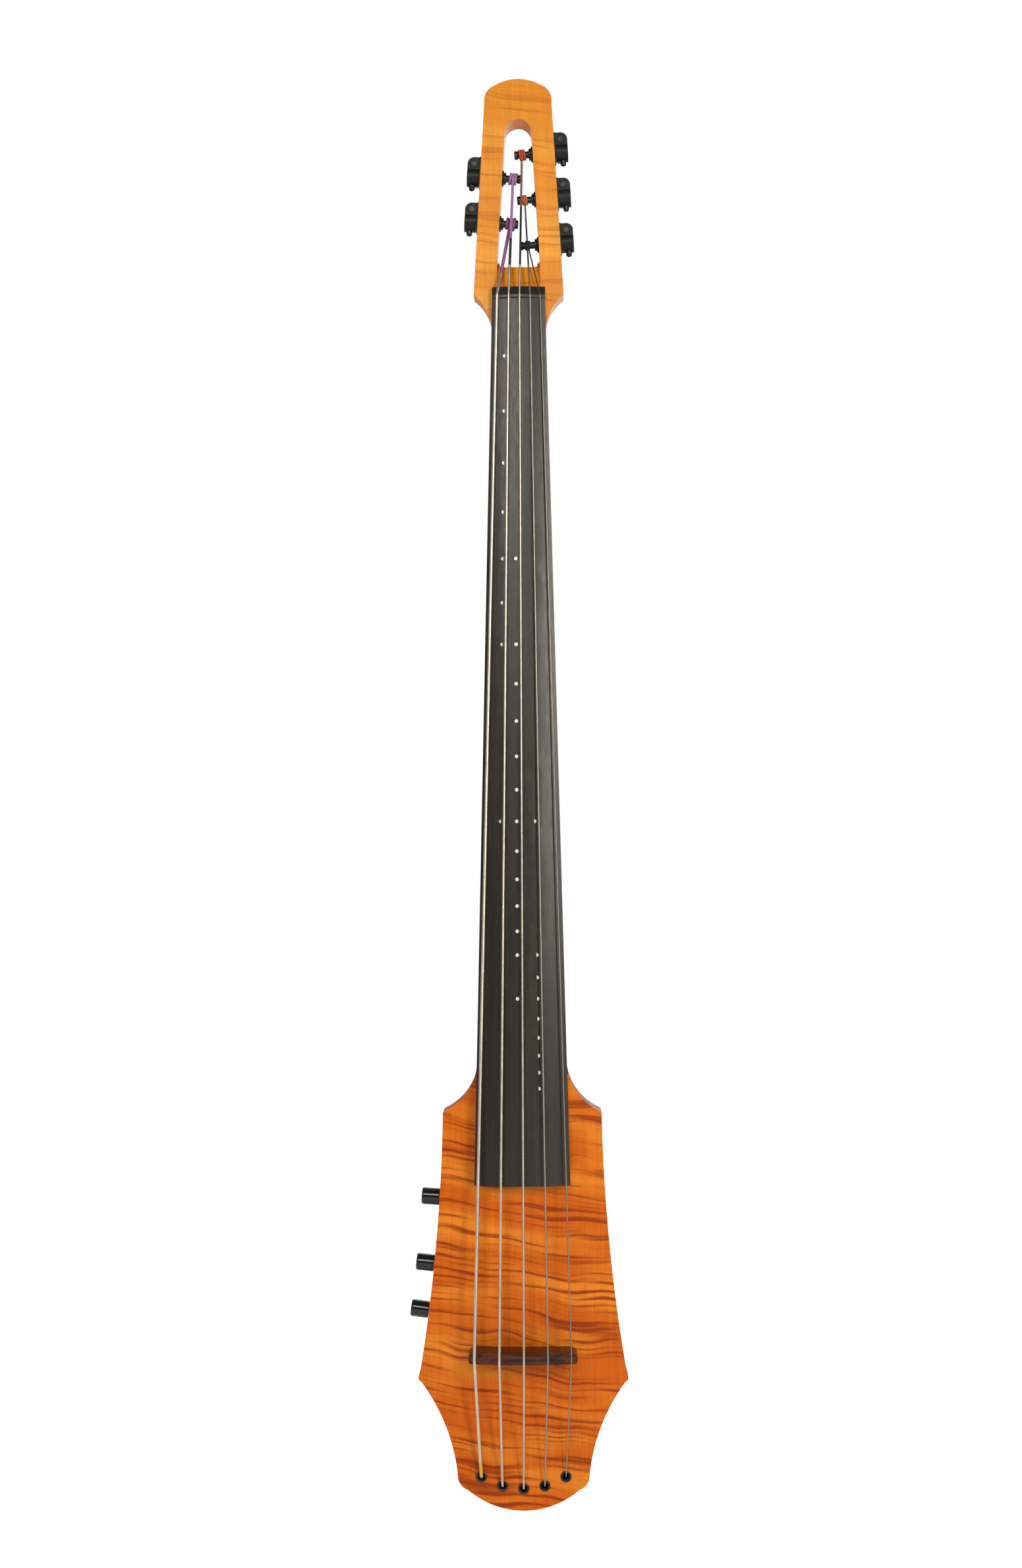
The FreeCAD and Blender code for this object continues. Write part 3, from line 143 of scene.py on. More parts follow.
floor_skin = add(paint.node_tree, "BsdfPrincipled", None, Base_Color=floor_tone.outputs["Result"],
                 Roughness=0.9, Emission_Color=(1, 1, 1, 1), Emission_Strength=floor_glow.outputs["Result"])
add(paint.node_tree, "OutputMaterial", None, Surface=floor_skin.outputs[0])
floor_mesh.materials.append(paint)

# --------------------------------------------------------------------------------- body
# The body is one block of flamed maple, stained amber and sprayed with satin lacquer. Its front
# is arched across, its back is flat, and every sawn edge is eased by hand with a small radius.
BODY_EDGE = 0.0016


def material(name):
    """A new material's node tree, empty."""
    made = bpy.data.materials.new(name)
    made.use_nodes = True
    made.node_tree.nodes.clear()
    return made, made.node_tree


def group(name, inputs, outputs):
    """A new shader node group's tree with its named sockets, and its input and output nodes."""
    made = bpy.data.node_groups.new(name, "ShaderNodeTree")
    for way, sockets in (("INPUT", inputs), ("OUTPUT", outputs)):
        for socket, kind, *default in sockets:
            item = made.interface.new_socket(socket, in_out=way, socket_type="NodeSocket" + kind)
            if default:
                item.default_value = default[0]
    return made, made.nodes.new("NodeGroupInput").outputs, made.nodes.new("NodeGroupOutput").inputs


def use(tree, effect, **inputs):
    """A node group placed in a material, with that material's own values."""
    made = tree.nodes.new("ShaderNodeGroup")
    made.node_tree = effect
    for name, value in inputs.items():
        socket = made.inputs[name.replace("_", " ")]
        if isinstance(value, bpy.types.NodeSocket):
            tree.links.new(value, socket)
        else:
            socket.default_value = value
    return made.outputs


def sums(tree, operation, *terms):
    """One step of arithmetic."""
    return add(tree, "Math", {"operation": operation},
               **{f"_{place}": term for place, term in enumerate(terms)}).outputs[0]


def spread(tree, value, low, high, bottom=0.0, top=1.0):
    """A value stretched from one range to another and held inside it."""
    return add(tree, "MapRange", {"interpolation_type": "SMOOTHSTEP"}, Value=value, From_Min=low,
               From_Max=high, To_Min=bottom, To_Max=top).outputs["Result"]


def tint(tree, share, under, over):
    """Two colours put together by a share."""
    return add(tree, "Mix", {"data_type": "RGBA"}, _0=share, _6=under, _7=over).outputs[2]


def stretched(tree, x, y, z, across, along, detail=3.0, rough=0.5):
    """Noise drawn out along one direction, from its own x, y and z."""
    point = add(tree, "CombineXYZ", None, X=sums(tree, "MULTIPLY", x, across),
                Y=sums(tree, "MULTIPLY", y, across), Z=sums(tree, "MULTIPLY", z, along))
    return add(tree, "TexNoise", None, Vector=point.outputs[0], Scale=1.0, Detail=detail,
               Roughness=rough).outputs["Fac"]


def build_maple_figure():
    """Flamed maple: dark ripples across the grain, broad lighter clouds, fine fibres and pores along it."""
    effect, given, out = group("maple_figure", [
        ("Light", "Color"), ("Middle", "Color"), ("Dark", "Color"), ("Ripples", "Float", 130.0),
        ("Slope", "Float", 0.1), ("Figure", "Float", 1.0), ("Shift", "Vector"),
    ], [("Color", "Color"), ("Roughness", "Float"), ("Height", "Float")])
    spot = add(effect, "TexCoord").outputs["Object"]
    moved = add(effect, "VectorMath", {"operation": "ADD"}, _0=spot, _1=given["Shift"]).outputs[0]
    place = add(effect, "SeparateXYZ", None, Vector=moved).outputs
    waver = add(effect, "TexNoise", None, Vector=moved, Scale=9.0, Detail=2.0).outputs["Fac"]
    lean = sums(effect, "MULTIPLY", place["X"], given["Slope"])
    sway = sums(effect, "MULTIPLY", sums(effect, "SUBTRACT", waver, 0.5), 0.034)
    height = sums(effect, "ADD", place["Z"], sums(effect, "ADD", lean, sway))
    ripple = add(effect, "CombineXYZ", None, X=sums(effect, "MULTIPLY", place["X"], 9.0),
                 Y=sums(effect, "MULTIPLY", place["Y"], 9.0),
                 Z=sums(effect, "MULTIPLY", height, given["Ripples"]))
    flame = add(effect, "TexNoise", None, Vector=ripple.outputs[0], Scale=1.0, Detail=2.5,
                Roughness=0.45).outputs["Fac"]
    clouds = stretched(effect, place["X"], place["Y"], height, 6.0, 26.0, 2.0)
    fibre = stretched(effect, place["X"], place["Y"], place["Z"], 620.0, 30.0, 3.0, 0.6)
    streak = stretched(effect, place["X"], place["Y"], place["Z"], 150.0, 7.0, 3.0, 0.6)
    pores = stretched(effect, place["X"], place["Y"], place["Z"], 1500.0, 90.0, 1.0)
    dark = sums(effect, "MULTIPLY", spread(effect, flame, 0.48, 0.68), given["Figure"])
    gold = sums(effect, "MULTIPLY", spread(effect, clouds, 0.42, 0.66), 0.85)
    wood = tint(effect, gold, given["Middle"], given["Light"])
    wood = tint(effect, dark, wood, given["Dark"])
    grain = sums(effect, "ADD", spread(effect, fibre, 0.3, 0.7, 0.93, 1.04),
                 spread(effect, streak, 0.3, 0.7, -0.05, 0.05))
    flecks = spread(effect, pores, 0.64, 0.74, 1.0, 0.88)
    tone = sums(effect, "MULTIPLY", grain, flecks)
    toned = add(effect, "VectorMath", {"operation": "SCALE"}, Vector=wood, Scale=tone).outputs[0]
    effect.links.new(toned, out["Color"])
    effect.links.new(spread(effect, fibre, 0.3, 0.7, 0.30, 0.40), out["Roughness"])
    effect.links.new(sums(effect, "ADD", sums(effect, "MULTIPLY", fibre, 0.5),
                          sums(effect, "MULTIPLY", pores, 0.5)), out["Height"])
    return effect


def soften(name, radius, rows=2, sharp=30):
    """Eases a part's edges by a radius, and shades its flats and curves cleanly."""
    part = parts[name]
    weld = part.modifiers.new("weld", "WELD")
    weld.merge_threshold = 2e-6
    flat = part.modifiers.new("flats", "DECIMATE")
    flat.decimate_type, flat.angle_limit = "DISSOLVE", radians(0.2)
    ease = part.modifiers.new("eased_edges", "BEVEL")
    ease.width, ease.segments, ease.limit_method = radius, rows, "ANGLE"
    ease.angle_limit, ease.miter_outer, ease.use_clamp_overlap = radians(sharp), "MITER_ARC", True
    ease.harden_normals = True
    level = part.modifiers.new("level_shading", "WEIGHTED_NORMAL")
    level.keep_sharp, level.weight = True, 50


def dress(names, finish):
    """Puts a finish on every material slot of the named parts."""
    for name in names:
        for place in range(len(parts[name].material_slots)):
            parts[name].material_slots[place].link = "OBJECT"
            parts[name].material_slots[place].material = finish


MAPLE_FIGURE = build_maple_figure()


def maple(name, light, middle, dark, ripples, slope, figure, shift):
    """Lacquered maple in one stain."""
    finish, tree = material(name)
    wood = use(tree, MAPLE_FIGURE, Light=light, Middle=middle, Dark=dark, Ripples=ripples,
               Slope=slope, Figure=figure, Shift=shift)
    relief = add(tree, "Bump", None, Strength=0.12, Distance=0.0002, Height=wood["Height"])
    skin = add(tree, "BsdfPrincipled", None, Base_Color=wood["Color"], Roughness=wood["Roughness"],
               Normal=relief.outputs[0],
               Coat_Weight=0.04, Coat_Roughness=0.25, Specular_IOR_Level=0.12)
    add(tree, "OutputMaterial", None, Surface=skin.outputs[0])
    return finish


amber_maple = maple("amber_flamed_maple", light=(0.86, 0.26, 0.022, 1), middle=(0.66, 0.125, 0.004, 1),
                    dark=(0.32, 0.040, 0.002, 1), ripples=215.0, slope=0.12, figure=0.95,
                    shift=(3.1, 0.7, 0.0))
soften("body", BODY_EDGE)
dress(["body"], amber_maple)

# --------------------------------------------------------------------------------- neck
# The neck and the open-slotted head are one piece of paler maple, glued into the body. The slot,
# the string ramp and the volutes are cut through it, and the edges are eased like the body's.
NECK_EDGE = 0.0012
gold_maple = maple("golden_maple", light=(0.84, 0.36, 0.045, 1), middle=(0.74, 0.26, 0.022, 1),
                   dark=(0.52, 0.135, 0.008, 1), ripples=235.0, slope=0.10, figure=0.6,
                   shift=(7.4, 2.2, 0.4))
soften("neck", NECK_EDGE)
dress(["neck"], gold_maple)

# --------------------------------------------------------------------------- fingerboard
# The fingerboard is a long ebony board, arched across and oiled to a satin polish, with a
# separate ebony nut glued to its upper end. Dark pores and faint brown streaks run along both.
BOARD_EDGE = 0.0008
oiled_ebony, tree = material("oiled_ebony")
spot = add(tree, "TexCoord").outputs["Object"]
place = add(tree, "SeparateXYZ", None, Vector=spot).outputs
streaks = stretched(tree, place["X"], place["Y"], place["Z"], 190.0, 3.0, 3.0, 0.6)
ebony_pores = stretched(tree, place["X"], place["Y"], place["Z"], 1300.0, 60.0, 2.0)
board_colour = tint(tree, spread(tree, streaks, 0.35, 0.7), (0.011, 0.009, 0.008, 1),
                    (0.026, 0.017, 0.012, 1))
board_rough = spread(tree, ebony_pores, 0.3, 0.7, 0.30, 0.40)
board_bump = add(tree, "Bump", None, Strength=0.10, Distance=0.0001, Height=ebony_pores)
skin = add(tree, "BsdfPrincipled", None, Base_Color=board_colour, Roughness=board_rough,
           Normal=board_bump.outputs[0], Specular_IOR_Level=0.5)
add(tree, "OutputMaterial", None, Surface=skin.outputs[0])
soften("fingerboard", BOARD_EDGE)
dress(["fingerboard"], oiled_ebony)

# ---------------------------------------------------------------------------------- nut
# The nut is an ebony block at the top of the board. Its playing edge is crowned like the board,
# and behind that it is filed down towards the head so that the strings lie on it all the way.
NUT_BASE, NUT_TILT = Vector((0, -0.019106, 0.95121)), radians(-1.5)
NUT_HALF, NUT_HIGH, NUT_CROWN, NUT_CORNER = 0.027, 0.00993, 0.125, 0.0006
NUT_STEP, NUT_STEPS = 0.0022, 12
nut_fall = ((0.0, 0.0003), (0.0004, 0.0), (0.003, 0.0), (0.006, 0.00075), (0.009, 0.0015), (0.012, 0.00225))
columns = [-NUT_HALF, -NUT_HALF + NUT_CORNER / 3]
columns += [place * NUT_STEP for place in range(-NUT_STEPS, NUT_STEPS + 1)]
columns += [NUT_HALF - NUT_CORNER / 3, NUT_HALF]
points, faces = [], []
for station, drop in nut_fall:
    row = [Vector((-NUT_HALF, 0, station))]
    for across in columns:
        fallen = NUT_CROWN - (NUT_CROWN ** 2 - across ** 2) ** 0.5 + drop
        fallen += NUT_CORNER if abs(across) == NUT_HALF else 0
        row.append(Vector((across, fallen - NUT_HIGH, station)))
    row.append(Vector((NUT_HALF, 0, station)))
    points += [NUT_BASE + Matrix.Rotation(NUT_TILT, 3, "X") @ point for point in row]
wide = len(columns) + 2
for row in range(len(nut_fall) - 1):
    for column in range(wide):
        near, beside = row * wide + column, row * wide + (column + 1) % wide
        faces.append((near, beside, beside + wide, near + wide))
faces += [tuple(range(wide))[::-1], tuple(range((len(nut_fall) - 1) * wide, len(nut_fall) * wide))]
nut_mesh = bpy.data.meshes.new("filed_nut")
nut_mesh.from_pydata([tuple(point) for point in points], [], faces)
nut_mesh.materials.append(oiled_ebony)
filed_nut = bpy.data.objects.new("filed_nut", nut_mesh)
bpy.context.collection.objects.link(filed_nut)
nut_edges = filed_nut.modifiers.new("eased_edges", "BEVEL")
nut_edges.width, nut_edges.segments, nut_edges.angle_limit = 0.0004, 2, radians(35)
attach(filed_nut, "instrument")
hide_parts("nut")

# ---------------------------------------------------------------------------- position dots
# The position dots are short rods of white plastic pressed into drilled holes and filed flush
# with the board. One row runs down the middle, a second one lies by the thinner strings.
finish, tree = material("white_dot_plastic")
cloud = add(tree, "TexNoise", None, Scale=900.0, Detail=2.0).outputs["Fac"]
dot_white = tint(tree, cloud, (0.78, 0.77, 0.72, 1), (0.9, 0.89, 0.85, 1))
skin = add(tree, "BsdfPrincipled", None, Base_Color=dot_white,
           Roughness=spread(tree, cloud, 0.2, 0.8, 0.3, 0.4))
add(tree, "OutputMaterial", None, Surface=skin.outputs[0])
dress(["position_dots"], finish)

# ------------------------------------------------------------------------------- strings
# Five flat-wound strings: a steel core with bright tape wound round it, and coloured silk over the
# ends that meet the tuning posts. The thickest has yellow and grey silk above its ferrule as well.
# Below their silk, strings 2 to 5 are painted near-black from the head slot's edge up, a painted
# shade where they stand dark against the light; the two thinnest have their tape painted darker,
# a painted reflection of the wood.
STRING_WIDTHS = (0.0034, 0.0027, 0.0022, 0.0017, 0.0013)
# Each row: wrap silk colour, silk colour, height where the silk starts, height where the painted shade below
# it starts.
SILKS = (
    ((0.36, 0.14, 0.38, 1), (0.33, 0.12, 0.36, 1), 0.9777, 0.9777),
    ((0.46, 0.24, 0.50, 1), (0.43, 0.22, 0.47, 1), 1.0150, 0.9860),
    ((0.62, 0.075, 0.02, 1), (0.24, 0.10, 0.075, 1), 1.0486, 0.9860),
    ((0.70, 0.20, 0.05, 1), (0.10, 0.09, 0.10, 1), 1.0370, 0.9860),
    ((0.16, 0.15, 0.14, 1), (0.05, 0.05, 0.055, 1), 1.0200, 0.9860),
)
# Painted shade: the near-black of strings 2 to 5 between the slot's edge and their silk.
PAINTED_STRING_SHADE = (0.012, 0.012, 0.015, 1)
# Tape brightness per string; strings 4 and 5 are painted darker, a painted reflection of the dark wood.
TAPE_PAINTED_LIGHT = (1.0, 0.95, 0.9, 0.55, 0.45)
WRAP_BAND, FOOT_SILK_HIGH, FOOT_SILK_KNOT = 0.008, 0.032, 0.0175


def string_finish(number, tape_painted_light, wrap_silk, silk, silk_from, painted_shade_from, wrap_at, foot_silk):
    """Bright tape winding between the silks, with the lay lines round it; the tape is dimmed per string as a
    painted reflection, and a band of painted shade lies below the upper silk. Heights are in metres.
    """
    finish, tree = material(f"wound_string_{number}")
    spot = add(tree, "TexCoord").outputs["Object"]
    up = add(tree, "SeparateXYZ", None, Vector=spot).outputs["Z"]
    lay = add(tree, "TexWave", {"bands_direction": "Z"}, Vector=spot, Scale=420.0,
              Distortion=0.6).outputs["Fac"]
    dull = add(tree, "TexNoise", None, Vector=spot, Scale=60.0, Detail=3.0).outputs["Fac"]
    # The same tape for every string, scaled darker on the thinnest two as a painted reflection.
    clean, worn = [(red * tape_painted_light, green * tape_painted_light, blue * tape_painted_light, 1)
                   for red, green, blue in ((0.84, 0.76, 0.62), (0.70, 0.63, 0.52))]
    tape = tint(tree, spread(tree, dull, 0.3, 0.7), clean, worn)
    tape = tint(tree, sums(tree, "MULTIPLY", lay, 0.25), tape, (0.30, 0.26, 0.21, 1))
    colour = tint(tree, spread(tree, up, wrap_at - WRAP_BAND, wrap_at - WRAP_BAND + 0.001), silk, wrap_silk)
    colour = tint(tree, sums(tree, "MULTIPLY", lay, 0.5), colour, (0.03, 0.02, 0.03, 1))
    # Below the silk the string is painted near-black, a painted shade; from its start upward the string is
    # not metallic.
    colour = tint(tree, spread(tree, up, silk_from - 0.0005, silk_from + 0.0005), PAINTED_STRING_SHADE, colour)
    silk_or_painted_shade = spread(tree, up, painted_shade_from - 0.0005, painted_shade_from + 0.0005)
    if foot_silk:
        foot, knot = foot_silk
        low_colour = tint(tree, spread(tree, up, knot - 0.0005, knot + 0.0005), (0.10, 0.11, 0.15, 1),
                          (0.70, 0.44, 0.06, 1))
        low = spread(tree, up, foot - 0.0005, foot + 0.0005, 1.0, 0.0)
        colour = tint(tree, low, colour, low_colour)
        silk_or_painted_shade = sums(tree, "MAXIMUM", silk_or_painted_shade, low)
    skin = add(tree, "BsdfPrincipled", None, Base_Color=tint(tree, silk_or_painted_shade, tape, colour),
               Metallic=sums(tree, "SUBTRACT", 1.0, silk_or_painted_shade),
               Roughness=sums(tree, "ADD", sums(tree, "MULTIPLY", silk_or_painted_shade, 0.4), 0.32),
               Normal=add(tree, "Bump", None, Strength=0.35, Distance=0.0001, Height=lay).outputs[0])
    add(tree, "OutputMaterial", None, Surface=skin.outputs[0])
    return finish


string_finishes = []
ferrule_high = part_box("string_ferrules")[0].z
for number, (wrap_silk, silk, silk_from, painted_shade_from) in enumerate(SILKS, start=1):
    wrap_at = joints[f"post_spin_{number}"]["pos_m"][2]
    feet = (ferrule_high + FOOT_SILK_HIGH, ferrule_high + FOOT_SILK_KNOT) if number == 1 else None
    string_finishes.append(string_finish(number, TAPE_PAINTED_LIGHT[number - 1], wrap_silk, silk, silk_from,
                                         painted_shade_from, wrap_at, feet))
    dress([f"string_{number}"], string_finishes[-1])

# ------------------------------------------------------------------------------- bridge
# The bridge is dark rosewood with rounded ends and a crowned top. It stands on the arch on two
# steel studs, and a strip pickup lies in a slot in its foot.
finish, tree = material("bridge_rosewood")
spot = add(tree, "TexCoord").outputs["Object"]
place = add(tree, "SeparateXYZ", None, Vector=spot).outputs
rings = add(tree, "CombineXYZ", None, X=sums(tree, "MULTIPLY", place["X"], 14.0),
            Y=sums(tree, "MULTIPLY", place["Y"], 260.0), Z=sums(tree, "MULTIPLY", place["Z"], 330.0))
vein = add(tree, "TexNoise", None, Vector=rings.outputs[0], Scale=1.0, Detail=4.0).outputs["Fac"]
hair = stretched(tree, place["Y"], place["Z"], place["X"], 1400.0, 70.0, 2.0)
rosewood = tint(tree, spread(tree, vein, 0.38, 0.64), (0.10, 0.022, 0.009, 1), (0.022, 0.008, 0.005, 1))
rosewood = tint(tree, spread(tree, hair, 0.62, 0.72, 0.0, 0.6), rosewood, (0.006, 0.003, 0.003, 1))
skin = add(tree, "BsdfPrincipled", None, Base_Color=rosewood,
           Roughness=spread(tree, hair, 0.3, 0.7, 0.20, 0.32),
           Normal=add(tree, "Bump", None, Strength=0.15, Distance=0.0001, Height=hair).outputs[0],
           Specular_IOR_Level=0.25)
add(tree, "OutputMaterial", None, Surface=skin.outputs[0])
soften("bridge", 0.0018, 3, 35)
dress(["bridge"], finish)

# ----------------------------------------------------------------------------- ferrules
# Each string enters the front through a flanged ferrule of blackened brass pressed into the wood.
# Bright steel cups in the back hold the strings' ball ends.


def build_handling_marks():
    """Smudges that change the gloss, small shade changes and a fine cast or moulded texture."""
    effect, given, out = group("handling_marks", [
        ("Smooth", "Float", 0.3), ("Rough", "Float", 0.45), ("Smudges", "Float", 40.0),
        ("Grit", "Float", 900.0),
    ], [("Shade", "Float"), ("Roughness", "Float"), ("Height", "Float")])
    spot = add(effect, "TexCoord").outputs["Object"]
    smudge = add(effect, "TexNoise", None, Vector=spot, Scale=given["Smudges"], Detail=4.0,
                 Roughness=0.6).outputs["Fac"]
    grit = add(effect, "TexNoise", None, Vector=spot, Scale=given["Grit"], Detail=2.0).outputs["Fac"]
    mixed = sums(effect, "ADD", sums(effect, "MULTIPLY", smudge, 0.7), sums(effect, "MULTIPLY", grit, 0.3))
    gloss = add(effect, "MapRange", None, Value=mixed, From_Min=0.3, From_Max=0.7, To_Min=given["Smooth"],
                To_Max=given["Rough"])
    effect.links.new(gloss.outputs["Result"], out["Roughness"])
    effect.links.new(spread(effect, mixed, 0.35, 0.65), out["Shade"])
    effect.links.new(grit, out["Height"])
    return effect


HANDLING = build_handling_marks()


def worked(name, deep, pale, smooth, rough, metal=0.0, grit=900.0, relief=0.1, coat=0.0, gleam=0.5):
    """A metal, plastic or paint finish with its handling marks."""
    finish, tree = material(name)
    marks = use(tree, HANDLING, Smooth=smooth, Rough=rough, Grit=grit)
    bumps = add(tree, "Bump", None, Strength=relief, Distance=0.0002, Height=marks["Height"])
    skin = add(tree, "BsdfPrincipled", None, Base_Color=tint(tree, marks["Shade"], deep, pale),
               Roughness=marks["Roughness"], Metallic=metal, Coat_Weight=coat, Coat_Roughness=0.1,
               Specular_IOR_Level=gleam, Normal=bumps.outputs[0])
    add(tree, "OutputMaterial", None, Surface=skin.outputs[0])
    return finish


blackened_brass = worked("blackened_brass", (0.035, 0.036, 0.04, 1), (0.07, 0.07, 0.075, 1), 0.24, 0.38, 0.85)
bright_steel = worked("bright_steel", (0.50, 0.50, 0.50, 1), (0.64, 0.64, 0.63, 1), 0.22, 0.34, 1.0)
soften("string_ferrules", 0.0003)
dress(["string_ferrules"], blackened_brass)
dress(["string_cups", "bridge_studs"], bright_steel)

# ------------------------------------------------------------------------------- tuners
# Five sealed worm tuners with die-cast cases in satin black, screwed to the head's sides. Each
# worm turns a brass wheel on the string's post, which runs through a black bush in the side wall.
satin_casting = worked("satin_black_casting", (0.006, 0.006, 0.0062, 1), (0.012, 0.012, 0.012, 1),
                       0.36, 0.48, grit=1400.0, relief=0.12, gleam=0.25)
black_metal = worked("black_plated_metal", (0.020, 0.020, 0.022, 1), (0.045, 0.045, 0.048, 1), 0.22, 0.34,
                     metal=0.8)
wheel_brass = worked("wheel_brass", (0.62, 0.40, 0.13, 1), (0.76, 0.53, 0.22, 1), 0.25, 0.38, 1.0)
for number in range(1, 6):
    soften(f"tuner_housing_{number}", 0.0011, 3)
    soften(f"tuner_button_{number}", 0.0012, 3, 40)
    dress([f"tuner_housing_{number}", f"tuner_button_{number}"], satin_casting)
    dress([f"worm_wheel_{number}"], wheel_brass)
    dress([f"worm_shaft_{number}"], black_metal)
soften("tuner_bushings", 0.0004)
dress(["tuner_base_plates"], satin_casting)
dress(["tuner_bushings"], black_metal)
dress(["tuner_screws"], bright_steel)

# ------------------------------------------------------------------- posts and windings
# A string post is turned from steel and plated black, with a waist where the string winds and a
# lipped tip that shows grey at its end. The string's silk-covered end lies round it in two turns.
POST_RADIUS, TIP_RADIUS, POST_LONG, POST_BEHIND = 0.0036, 0.0044, 0.0415, 0.0119
WAIST_RADIUS, CENTRE_RADIUS, CENTRE_DEEP = POST_RADIUS * 0.93, 0.0019, 0.0009
WINDING_IN, LEAST_TURNS, MORE_TURNS, TURN_STEPS, TURN_PITCH = 0.0335, 1.05, 0.15, 26, 1.03
LEAD_REACH = 0.02
post_tip = worked("post_tip_steel", (0.22, 0.22, 0.21, 1), (0.42, 0.41, 0.39, 1), 0.20, 0.32, 1.0)


def turned_piece(name, profile, base, along, side, finishes, sides=48):
    """A lathe-turned piece: rings of (radius, distance, finish number) along an axis from its base."""
    ahead = side.cross(along)
    points, faces, picks = [], [], []
    for radius, distance, pick in profile:
        for step in range(sides):
            angle = 2 * pi * step / sides
            points.append(base + along * distance + (side * cos(angle) + ahead * sin(angle)) * radius)
    for row in range(len(profile) - 1):
        for step in range(sides):
            low, high = row * sides + step, row * sides + (step + 1) % sides
            faces.append((low, high, high + sides, low + sides))
            picks.append(profile[row + 1][2])
    faces += [tuple(range(sides))[::-1], tuple(range((len(profile) - 1) * sides, len(profile) * sides))]
    picks += [profile[0][2], profile[-1][2]]
    mesh = bpy.data.meshes.new(name)
    mesh.from_pydata([tuple(point) for point in points], [], faces)
    for finish in finishes:
        mesh.materials.append(finish)
    for face, pick in zip(mesh.polygons, picks):
        face.material_index, face.use_smooth = pick, True
    mesh.update()
    piece = bpy.data.objects.new(name, mesh)
    bpy.context.collection.objects.link(piece)
    ease = piece.modifiers.new("eased_edges", "BEVEL")
    ease.width, ease.segments, ease.angle_limit, ease.harden_normals = 0.00025, 2, radians(28), True
    return piece


def wire(name, points, radius, finish):
    """A round wire, thread or string through points."""
    line = bpy.data.curves.new(name, "CURVE")
    line.dimensions, line.bevel_depth, line.bevel_resolution, line.use_fill_caps = "3D", radius, 5, True
    run = line.splines.new("POLY")
    run.points.add(len(points) - 1)
    for knot, point in zip(run.points, points):
        knot.co = (*point, 1)
    run.use_smooth = True
    line.materials.append(finish)
    piece = bpy.data.objects.new(name, line)
    bpy.context.collection.objects.link(piece)
    return piece


for number, width in enumerate(STRING_WIDTHS, start=1):
    turn = joints[f"post_spin_{number}"]
    base, axis = Vector(turn["pos_m"]), Vector(turn["axis"])
    inward = axis if base.x < 0 else -axis
    front = (Vector((0, -1, 0)) - inward * inward.dot(Vector((0, -1, 0)))).normalized()
    rise = front.cross(inward)
    rise = rise if rise.z > 0 else -rise
    post = turned_piece(f"string_post_{number}", [
        (POST_RADIUS, -POST_BEHIND, 0), (POST_RADIUS, WINDING_IN - 0.0055, 0),
        (WAIST_RADIUS, WINDING_IN - 0.004, 0), (WAIST_RADIUS, POST_LONG - 0.0045, 0),
        (POST_RADIUS, POST_LONG - 0.004, 0), (TIP_RADIUS, POST_LONG - 0.0032, 0),
        (TIP_RADIUS, POST_LONG - 0.0008, 0), (TIP_RADIUS - 0.0006, POST_LONG, 1),
        (CENTRE_RADIUS, POST_LONG, 1), (CENTRE_RADIUS - 0.0004, POST_LONG - CENTRE_DEEP, 1),
        (0.0003, POST_LONG - CENTRE_DEEP, 1),
    ], base, inward, front, [black_metal, post_tip])
    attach(post, f"post_{number}")
    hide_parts(f"tuner_post_{number}")
    reach = POST_RADIUS + width / 2
    touch = base + inward * WINDING_IN + front * reach
    turns = LEAST_TURNS + MORE_TURNS * number
    coil = []
    for step in range(int(-turns * TURN_STEPS), int(turns * TURN_STEPS) + 1):
        angle = 2 * pi * step / TURN_STEPS
        across = WINDING_IN + width * TURN_PITCH * step / TURN_STEPS
        coil.append(base + inward * across + (front * cos(angle) + rise * sin(angle)) * reach)
    winding = wire(f"winding_{number}", coil, width / 2, string_finishes[number - 1])
    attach(winding, f"post_{number}")
    string_points = [point.co for point in parts[f"string_{number}"].data.vertices]
    top = max(point.z for point in string_points)
    cap = [point for point in string_points
           if point.z > top - width * 0.75 and (point - touch).length < LEAD_REACH]
    start = sum(cap, Vector()) / len(cap)
    lapped = start + (start - touch).normalized() * width
    lead_in = wire(f"string_lead_in_{number}", [lapped, start, touch], width / 2,
                   string_finishes[number - 1])
    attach(lead_in, "instrument")

# ------------------------------------------------------------------------ case screws
# Under each tuner case a black screw with a domed head adjusts how stiffly the worm turns. It is
# threaded through the case's lower wall, and its head has a shallow round recess.
SCREW_RADIUS, SCREW_LONG, SCREW_IN, SCREW_BACK = 0.0029, 0.0046, 0.0052, 0.0075
SCREW_SUNK, RECESS_DEEP = 0.001, 0.0008
for number in range(1, 6):
    low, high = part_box(f"tuner_housing_{number}")
    outer = low.x + SCREW_IN if low.x < 0 else high.x - SCREW_IN
    case_screw = turned_piece(f"tuner_case_screw_{number}", [
        (SCREW_RADIUS, -SCREW_SUNK, 0), (SCREW_RADIUS, SCREW_LONG - 0.0014, 0),
        (SCREW_RADIUS * 0.85, SCREW_LONG - 0.0005, 0), (SCREW_RADIUS * 0.5, SCREW_LONG, 0),
        (SCREW_RADIUS * 0.4, SCREW_LONG, 0), (SCREW_RADIUS * 0.36, SCREW_LONG - RECESS_DEEP, 0),
        (0.0002, SCREW_LONG - RECESS_DEEP, 0),
    ], Vector((outer, low.y + SCREW_BACK, low.z)), Vector((0, 0, -1)), Vector((1, 0, 0)), [black_metal], 32)
    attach(case_screw, "instrument")

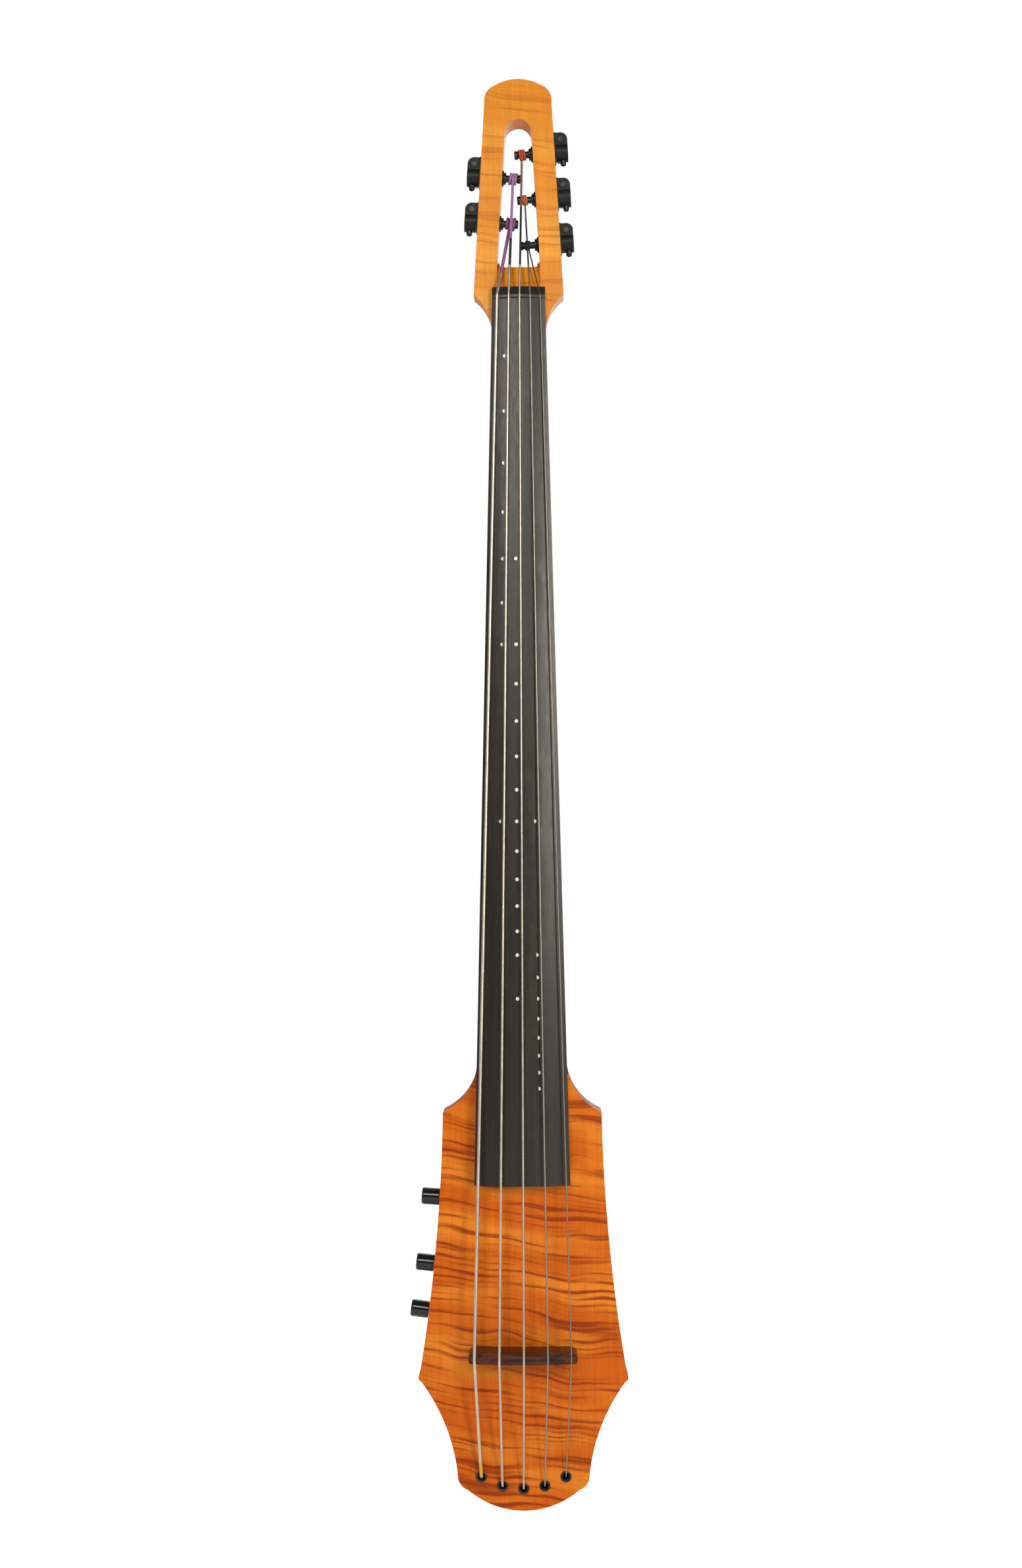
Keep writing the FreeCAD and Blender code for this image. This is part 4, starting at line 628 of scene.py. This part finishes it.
# -------------------------------------------------------------------------------- knobs
# Three volume and tone knobs of polished black plastic, turned with a soft outer edge and a
# shallow hub, pushed on to steel pot shafts that come out through the body's side.
knob_plastic = worked("polished_black_plastic", (0.005, 0.005, 0.005, 1), (0.008, 0.008, 0.008, 1),
                      0.12, 0.2, grit=1600.0, relief=0.03, coat=0.2)
for number in (1, 2, 3):
    soften(f"knob_{number}", 0.0006, 2, 25)
dress(["knob_1", "knob_2", "knob_3"], knob_plastic)
dress(["pot_shaft_1", "pot_shaft_2", "pot_shaft_3", "potentiometers", "pot_nuts"], bright_steel)

# ----------------------------------------------------------------------------- back plates
# A black steel plate with a threaded socket takes the stand's peg, held by four screws. Beside it
# a textured plastic cover closes the electronics cavity and carries the output jack.
plate_paint = worked("stand_plate_paint", (0.016, 0.016, 0.017, 1), (0.028, 0.028, 0.030, 1),
                     0.34, 0.48, metal=0.5, grit=1100.0, relief=0.2)
cover_plastic = worked("textured_cover_plastic", (0.012, 0.012, 0.012, 1), (0.020, 0.020, 0.020, 1),
                       0.46, 0.6, grit=700.0, relief=0.4)
soften("stand_plate", 0.0005)
soften("control_cover", 0.0004)
dress(["stand_plate"], plate_paint)
dress(["control_cover"], cover_plastic)
dress(["stand_plate_screws", "cover_screws", "truss_rod"], bright_steel)
dress(["output_jack"], blackened_brass)

# ------------------------------------------------------------------------ inside the cavity
# Behind the cover lie a green circuit board with its black chips, a block battery in a printed
# foil jacket, and, under the bridge, a brass-foiled pickup strip.
board_green = worked("circuit_board_green", (0.006, 0.055, 0.022, 1), (0.012, 0.085, 0.035, 1),
                     0.28, 0.42, grit=2200.0, coat=0.3)
battery_jacket = worked("battery_jacket", (0.05, 0.05, 0.055, 1), (0.12, 0.10, 0.06, 1), 0.3, 0.42, 0.6)
pickup_foil = worked("pickup_foil", (0.50, 0.32, 0.14, 1), (0.62, 0.42, 0.20, 1), 0.3, 0.45, 1.0)
dress(["circuit_board"], board_green)
dress(["battery"], battery_jacket)
dress(["bridge_pickup"], pickup_foil)
